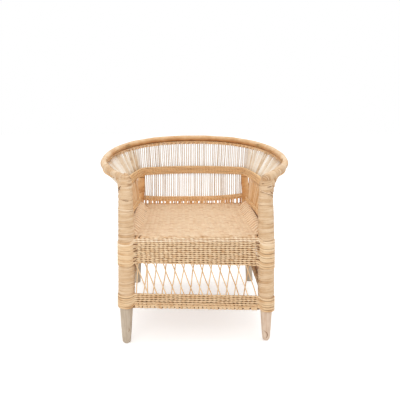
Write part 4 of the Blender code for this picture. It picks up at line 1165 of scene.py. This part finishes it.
def rail_band(strands):
    rail = rail_from(ROPE_START, 0.002)
    run = ROPE_START + lengths(rail)
    drop = rope_drop(np.minimum(run, ROPE_START + run[-1] - run))
    band_round(strands, rail - UP * drop[:, None], np.array([0.0022, -0.0024]), ROPE_WEAVE)
    # A dark strip under the rail: painted shadow in the gap between the rail and its band.
    rail_gap_shadow = rail - UP * (RAIL_RADIUS + 0.0004)
    strands.add(rail_gap_shadow, UP, 0.0018, 0.0010, 1.2, 6)


SEAT_BAND_LIFT = 0.0055
SEAT_BAND_BOWS = {"right": 0.006, "back": 0.0, "left": 0.006}
SEAT_BAND_CLIMBS = {"right": (0.0, 0.0), "back": (0.009, 0.004), "left": (0.0, 0.0)}
SEAT_BAND_POINTS = 200
PEG_LENGTH = 0.019


def seat_band_path(side):
    """The band above the seat's edge on one side, with the way out. The side ones bow outward.

    The back one climbs at its ends.
    """
    rise = SEAT_BAND_RISE + SEAT_BAND_LIFT
    heights = ends_of(side, SEAT_Z, SEAT_Z - SEAT_DROP)
    start, end, out = side_row(side, heights[0] + rise, heights[1] + rise, 0.0)
    share = np.linspace(0, 1, SEAT_BAND_POINTS)
    bow = SEAT_BAND_BOWS[side] * np.sin(np.pi * share) - np.mean(ends_of(side, FRONT_OUTSET, REAR_OUTSET))
    first, last = SEAT_BAND_CLIMBS[side]
    climb = first * np.clip(1 - share / 0.4, 0, 1) ** 2 + last * np.clip(4 * share - 3, 0, 1) ** 2
    return line(start, end, SEAT_BAND_POINTS) + out * bow[:, None] + UP * climb[:, None], out


def seat_band(strands, side):
    path, out = seat_band_path(side)
    band_round(strands, path, FINE_ROW * np.array([1.5, 0.5, -0.5, -1.5]), FINE_WEAVE)
    strands.add(path, out, 1.5 * FINE_ROW, 0.0010, 0.5, 6)
    count = round(lengths(path)[-1] / PEG_PITCH)
    drop = UP * (PEG_LENGTH + max(SEAT_BAND_CLIMBS[side]))
    for run in jittered((np.arange(count) + 0.5) * PEG_PITCH, 0.0026):
        head = at_lengths(path, np.array([run]))[0]
        strands.add(line(head - drop, head, 3), out, rng.uniform(0.0016, 0.0036), 0.0014,
                    rng.uniform(0.2, 0.9), 6)
    # Under the side bands, a dark strip is painted shadow in the gap above the bolster.
    if side != "back":
        strands.add(path - UP * 1.9 * FINE_ROW - out * 0.0035, out, 0.0026, 0.0012, DARKEST, 6)


# Stakes

SIDE_STAKES = 35
BACK_STAKES = 52
BAND_EDGE = 2.5 * FINE_ROW
CORNER_STAKES = 5
STAKE_RADIUS = 0.0021
ARM_STAKE_RADIUS = 0.0025
STRIP_HALF = 0.0036


def strips(strands, lows, highs):
    """Flat upright strips set edge to edge, facing sideways."""
    for low, high in zip(lows, highs):
        tone = rng.uniform(0.1, 0.9)
        strands.add(line(low, high, 5), np.array([1.0, 0.0, 0.01]), STRIP_HALF, 0.0010, tone, 6)


def stakes(strands, lows, highs, radius=STAKE_RADIUS):
    for low, high in zip(lows, highs):
        path = line(low, high, 5)
        sway = np.sin(np.linspace(0, np.pi, 5))[:, None] * rng.normal(0, 0.0003, 3)
        path = path + sway * np.array([1.0, 1.0, 0.0])
        thick = radius * rng.uniform(0.8, 1.15)
        strands.add(path, np.array([0.0, -1.0, 0.01]), thick, thick, rng.uniform(0.0, 0.95), 6)


def rail_points(run, jitter):
    along = jittered(rail_over(run), jitter)
    return at_lengths(RAIL_HALF_PATH, along) - UP * rope_drop(along)[:, None]


def upper_side(strands, sign):
    run = jittered(np.linspace(0.0, SIDE_LENGTH, SIDE_STAKES), 0.0008)
    lows = mirrored(at_lengths(MID_HALF_PATH, run) + UP * BAND_EDGE, sign)
    stakes(strands, lows, mirrored(rail_points(run, 0.0006), sign), ARM_STAKE_RADIUS)


def back_run(count_back, count_corner):
    corner = SIDE_LENGTH + CORNER_LENGTH * (np.arange(count_corner) + 0.5) / max(count_corner, 1)
    step = 2 * (MID_HALF_LENGTH - SIDE_LENGTH - CORNER_LENGTH) / count_back
    half = SIDE_LENGTH + CORNER_LENGTH + step * (np.arange(count_back // 2) + 0.5)
    return np.concatenate([corner, half])


def upper_back(strands):
    for sign in (1, -1):
        run = jittered(back_run(BACK_STAKES, CORNER_STAKES), 0.0006)
        lows = mirrored(at_lengths(MID_HALF_PATH, run) + UP * BAND_EDGE, sign)
        stakes(strands, lows, mirrored(rail_points(run, 0.0004), sign))


def lower_side(strands, sign):
    path, _ = seat_band_path("right")
    share = jittered(np.linspace(0.02, 0.93, SIDE_STAKES + 14), 0.003)
    lows = at_lengths(path, share * lengths(path)[-1])
    highs = at_lengths(MID_HALF_PATH, share * SIDE_LENGTH) - UP * BAND_EDGE
    strips(strands, mirrored(lows, sign), mirrored(highs, sign))


def lower_back(strands):
    """Upright stakes between the back's two bands."""
    z = SEAT_Z - SEAT_DROP + SEAT_BAND_RISE + SEAT_BAND_LIFT
    reach = rear_x(z) - BACK_CLEARANCE
    run = lengths(MID_HALF_PATH)
    behind = run > SIDE_LENGTH
    half = BACK_STAKES // 2
    band = seat_band_path("back")[0][::-1]
    for sign in (1, -1):
        x = jittered(reach * (np.arange(half) + 0.5) / half, 0.0006)
        low_z = np.interp(sign * x, band[:, 0], band[:, 2])
        lows = np.stack([x, np.full(half, rear_y(z)), low_z], axis=1)
        along = np.interp(-x, -MID_HALF_PATH[behind, 0], run[behind])
        highs = at_lengths(MID_HALF_PATH, along) - UP * BAND_EDGE
        stakes(strands, mirrored(lows, sign), mirrored(highs, sign))


# Smooth peel on the rail and on the rear posts

RAIL_SIDES = 16
RAIL_SEAMS = [-0.33, -0.108, 0.075, 0.26]
SEAM_HALF = 0.0022
SEAM_DEPTH = 0.0003
POST_SHADOW_Z = 0.3600
POST_POINTS = 260
POST_PITCH = 0.0210
SHADOW_RING_POINTS = 25


def rail_peel(strands):
    """The rail's smooth skin, with a few nodes across it: pale on top as painted light and darker underneath
    as painted shade; pale at the arms and deeper across the back, partly its own colour and partly painted
    shade.
    """
    path = rail_from(0.080, 0.002)
    count = len(path)
    from_middle = lengths(path) - lengths(path)[-1] / 2
    radius = RAIL_RADIUS - 0.0002 + drift(count, 9, 0.00025)
    tone = 0.54 + 0.20 * np.clip(1.15 - np.abs(from_middle) / 0.45, 0, 1) + drift(count, 14, 0.07)
    for seam in RAIL_SEAMS:
        near = np.exp(-((from_middle + seam) / SEAM_HALF) ** 2)
        radius = radius - SEAM_DEPTH * near
        tone = tone + 0.1 * near
    turn = 2 * np.pi * (np.arange(RAIL_SIDES) + 0.5) / RAIL_SIDES
    # Paler on top and darker underneath: painted light and shade round the rail.
    lit_and_shaded_tone = tone[:, None] - 0.34 * np.sin(turn)[None, :]
    strands.add(path, transported(path, UP), radius, radius, lit_and_shaded_tone, RAIL_SIDES)


def rear_peel(strands, sign):
    path = mirrored(line(rear_point(WRAP_BOTTOM), rear_point(MID_BACK_Z - 0.006), POST_POINTS), sign)
    base = np.interp(path[:, 2], [0, REAR_TOP_Z], [REAR_FOOT_RADIUS, REAR_TOP_RADIUS]) + REAR_WRAP + 0.0006
    pitch = POST_PITCH * (1 + drift(POST_POINTS, 8, 0.15))
    # The lining's deeper tone is painted shade between the turns of the post's winding.
    lining(strands, path[::10], base[::10] + 0.0002, 0.7)
    wind(strands, path, base + 0.0005, pitch, 0.0006, 0.45, 0.0008, 0.0001)
    # A dark ring where the post meets the middle band: painted shadow just under the band.
    ring = np.linspace(0, 2 * np.pi, SHADOW_RING_POINTS)
    spokes = np.stack([np.cos(ring), np.sin(ring), np.zeros_like(ring)], axis=1)
    shadow_ring = mirrored(rear_point(POST_SHADOW_Z), sign) + spokes * (base[-1] + 0.0008)
    strands.add(shadow_ring, spokes, 0.0013, 0.0009, DARKEST)


# Pieces

LEG_NODES = ["front_leg_lower_winding_", "front_leg_upper_winding_", "front_leg_foot_cuff_",
             "front_leg_seat_cuff_", "arm_lashing_"]
for side, sign in SIGNS.items():
    wound = [stem + side for stem in LEG_NODES]
    woven("front_leg_cane_" + side, wound_cane, "wound_cane", wound, front_leg, sign)
    woven("rear_post_cane_" + side, post_cane, "band_cane", ["rear_leg_wrap_" + side], rear_peel, sign)
    woven("upper_rods_" + side, arm_cane, "stake_cane", ["upper_stakes_" + side], upper_side, sign)
    woven("lower_rods_" + side, side_cane, "stake_cane", ["lower_stakes_" + side], lower_side, sign)

for side in ("right", "back", "left"):
    woven("seat_edge_weave_" + side, band_cane, "band_cane", ["seat_band_" + side], seat_band, side)
    woven("apron_weave_" + side, skirt_cane, "skirt_cane", ["apron_" + side], apron_other, side)
    woven("lattice_strands_" + side, skirt_cane, "skirt_cane", ["lattice_" + side], lattice_other, side)
    woven("bottom_weave_" + side, skirt_cane, "skirt_cane", ["bottom_band_" + side], band_other, side)

woven("apron_weave_front", skirt_cane, "skirt_cane", ["apron_front"], apron_front)
woven("lattice_strands_front", skirt_cane, "skirt_cane", ["lattice_front"], lattice_front)
woven("bottom_weave_front", skirt_cane, "skirt_cane", ["bottom_band_front", "stretcher_front"], band_front)
woven("upper_rods_back", stake_cane, "stake_cane", ["upper_stakes_back"], upper_back)
woven("lower_rods_back", stake_cane, "stake_cane", ["lower_stakes_back"], lower_back)
woven("middle_weave", band_cane, "band_cane", ["middle_band"], middle_band)
woven("rail_weave", band_cane, "band_cane", ["rail_band"], rail_band)
woven("rail_peel", rail_cane, "rail_cane", ["top_rail_binding"], rail_peel)
woven("seat_weave", seat_cane, "seat_cane", ["seat_mat"], seat)

for name in ("seat_rail_front", "seat_rail_right", "seat_rail_back", "seat_rail_left", "stretcher_right",
             "stretcher_back", "stretcher_left", "top_rail", "middle_hoop"):
    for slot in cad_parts[name].material_slots:
        slot.material = hidden_wood


# Floor, light and camera

WORLD_LIGHT = 0.86
FLOOR_GLOW = 0.42
FLOOR_HALF = 6.0
floor_mesh = bpy.data.meshes.new("floor")
floor_corners = [(x * FLOOR_HALF, y * FLOOR_HALF, 0) for x, y in ((-1, -1), (1, -1), (1, 1), (-1, 1))]
floor_mesh.from_pydata(floor_corners, [], [(0, 1, 2, 3)])
floor = added("floor", floor_mesh)
floor_material = bpy.data.materials.new("pale floor")
floor_material.use_nodes = True
floor_tree = floor_material.node_tree
floor_tree.nodes.clear()
diffuse = node(floor_tree, "ShaderNodeBsdfDiffuse")
diffuse.inputs["Color"].default_value = (0.9, 0.9, 0.9, 1.0)
glow = node(floor_tree, "ShaderNodeEmission")
path_node = node(floor_tree, "ShaderNodeLightPath")
floor_tree.links.new(math_node(floor_tree, "MULTIPLY", path_node.outputs["Is Camera Ray"], FLOOR_GLOW),
                     glow.inputs["Strength"])
both = node(floor_tree, "ShaderNodeAddShader")
floor_tree.links.new(diffuse.outputs[0], both.inputs[0])
floor_tree.links.new(glow.outputs[0], both.inputs[1])
floor_out = node(floor_tree, "ShaderNodeOutputMaterial")
floor_tree.links.new(both.outputs[0], floor_out.inputs["Surface"])
floor.data.materials.append(floor_material)

world = bpy.data.worlds.new("studio")
bpy.context.scene.world = world
world.use_nodes = True
world_tree = world.node_tree
background = world_tree.nodes["Background"]
background.inputs["Color"].default_value = (1.0, 1.0, 1.0, 1.0)
rays = node(world_tree, "ShaderNodeLightPath").outputs
seen = math_node(world_tree, "MAXIMUM", rays["Is Camera Ray"], rays["Is Glossy Ray"])
seen = math_node(world_tree, "MAXIMUM", seen, rays["Is Transmission Ray"])
strength = math_node(world_tree, "MULTIPLY_ADD", seen, 1.0 - WORLD_LIGHT, WORLD_LIGHT)
world_tree.links.new(strength, background.inputs["Strength"])


LIGHT_TARGET = np.array([0.0, 0.0, 0.25])
LIGHT_SIZE = 1.6


def softbox(name, location, power):
    light = bpy.data.lights.new(name, "AREA")
    light.size = LIGHT_SIZE
    light.energy = power
    lamp = added(name, light)
    lamp.location = location
    away = LIGHT_TARGET - np.asarray(location)
    lamp.rotation_euler = (math.atan2(math.hypot(away[0], away[1]), -away[2]), 0.0,
                           math.atan2(away[1], away[0]) - math.pi / 2)


softbox("key", (-0.7, -2.0, 1.5), 11.0)
softbox("top", (0.4, 0.2, 2.4), 10.0)

LENS = 43.2
PITCH_DOWN = 12.5
TURN_RIGHT = 2.0
camera_data = bpy.data.cameras.new("camera")
camera_data.lens = LENS
camera_data.sensor_width = 36.0
camera = added("camera", camera_data)
camera.location = (-0.0307, -1.3209, 0.6151)
camera.rotation_euler = (math.radians(90 - PITCH_DOWN), 0.0, math.radians(-TURN_RIGHT))
bpy.context.scene.camera = camera
bpy.context.scene.view_settings.view_transform = "Standard"

bpy.context.view_layer.update()
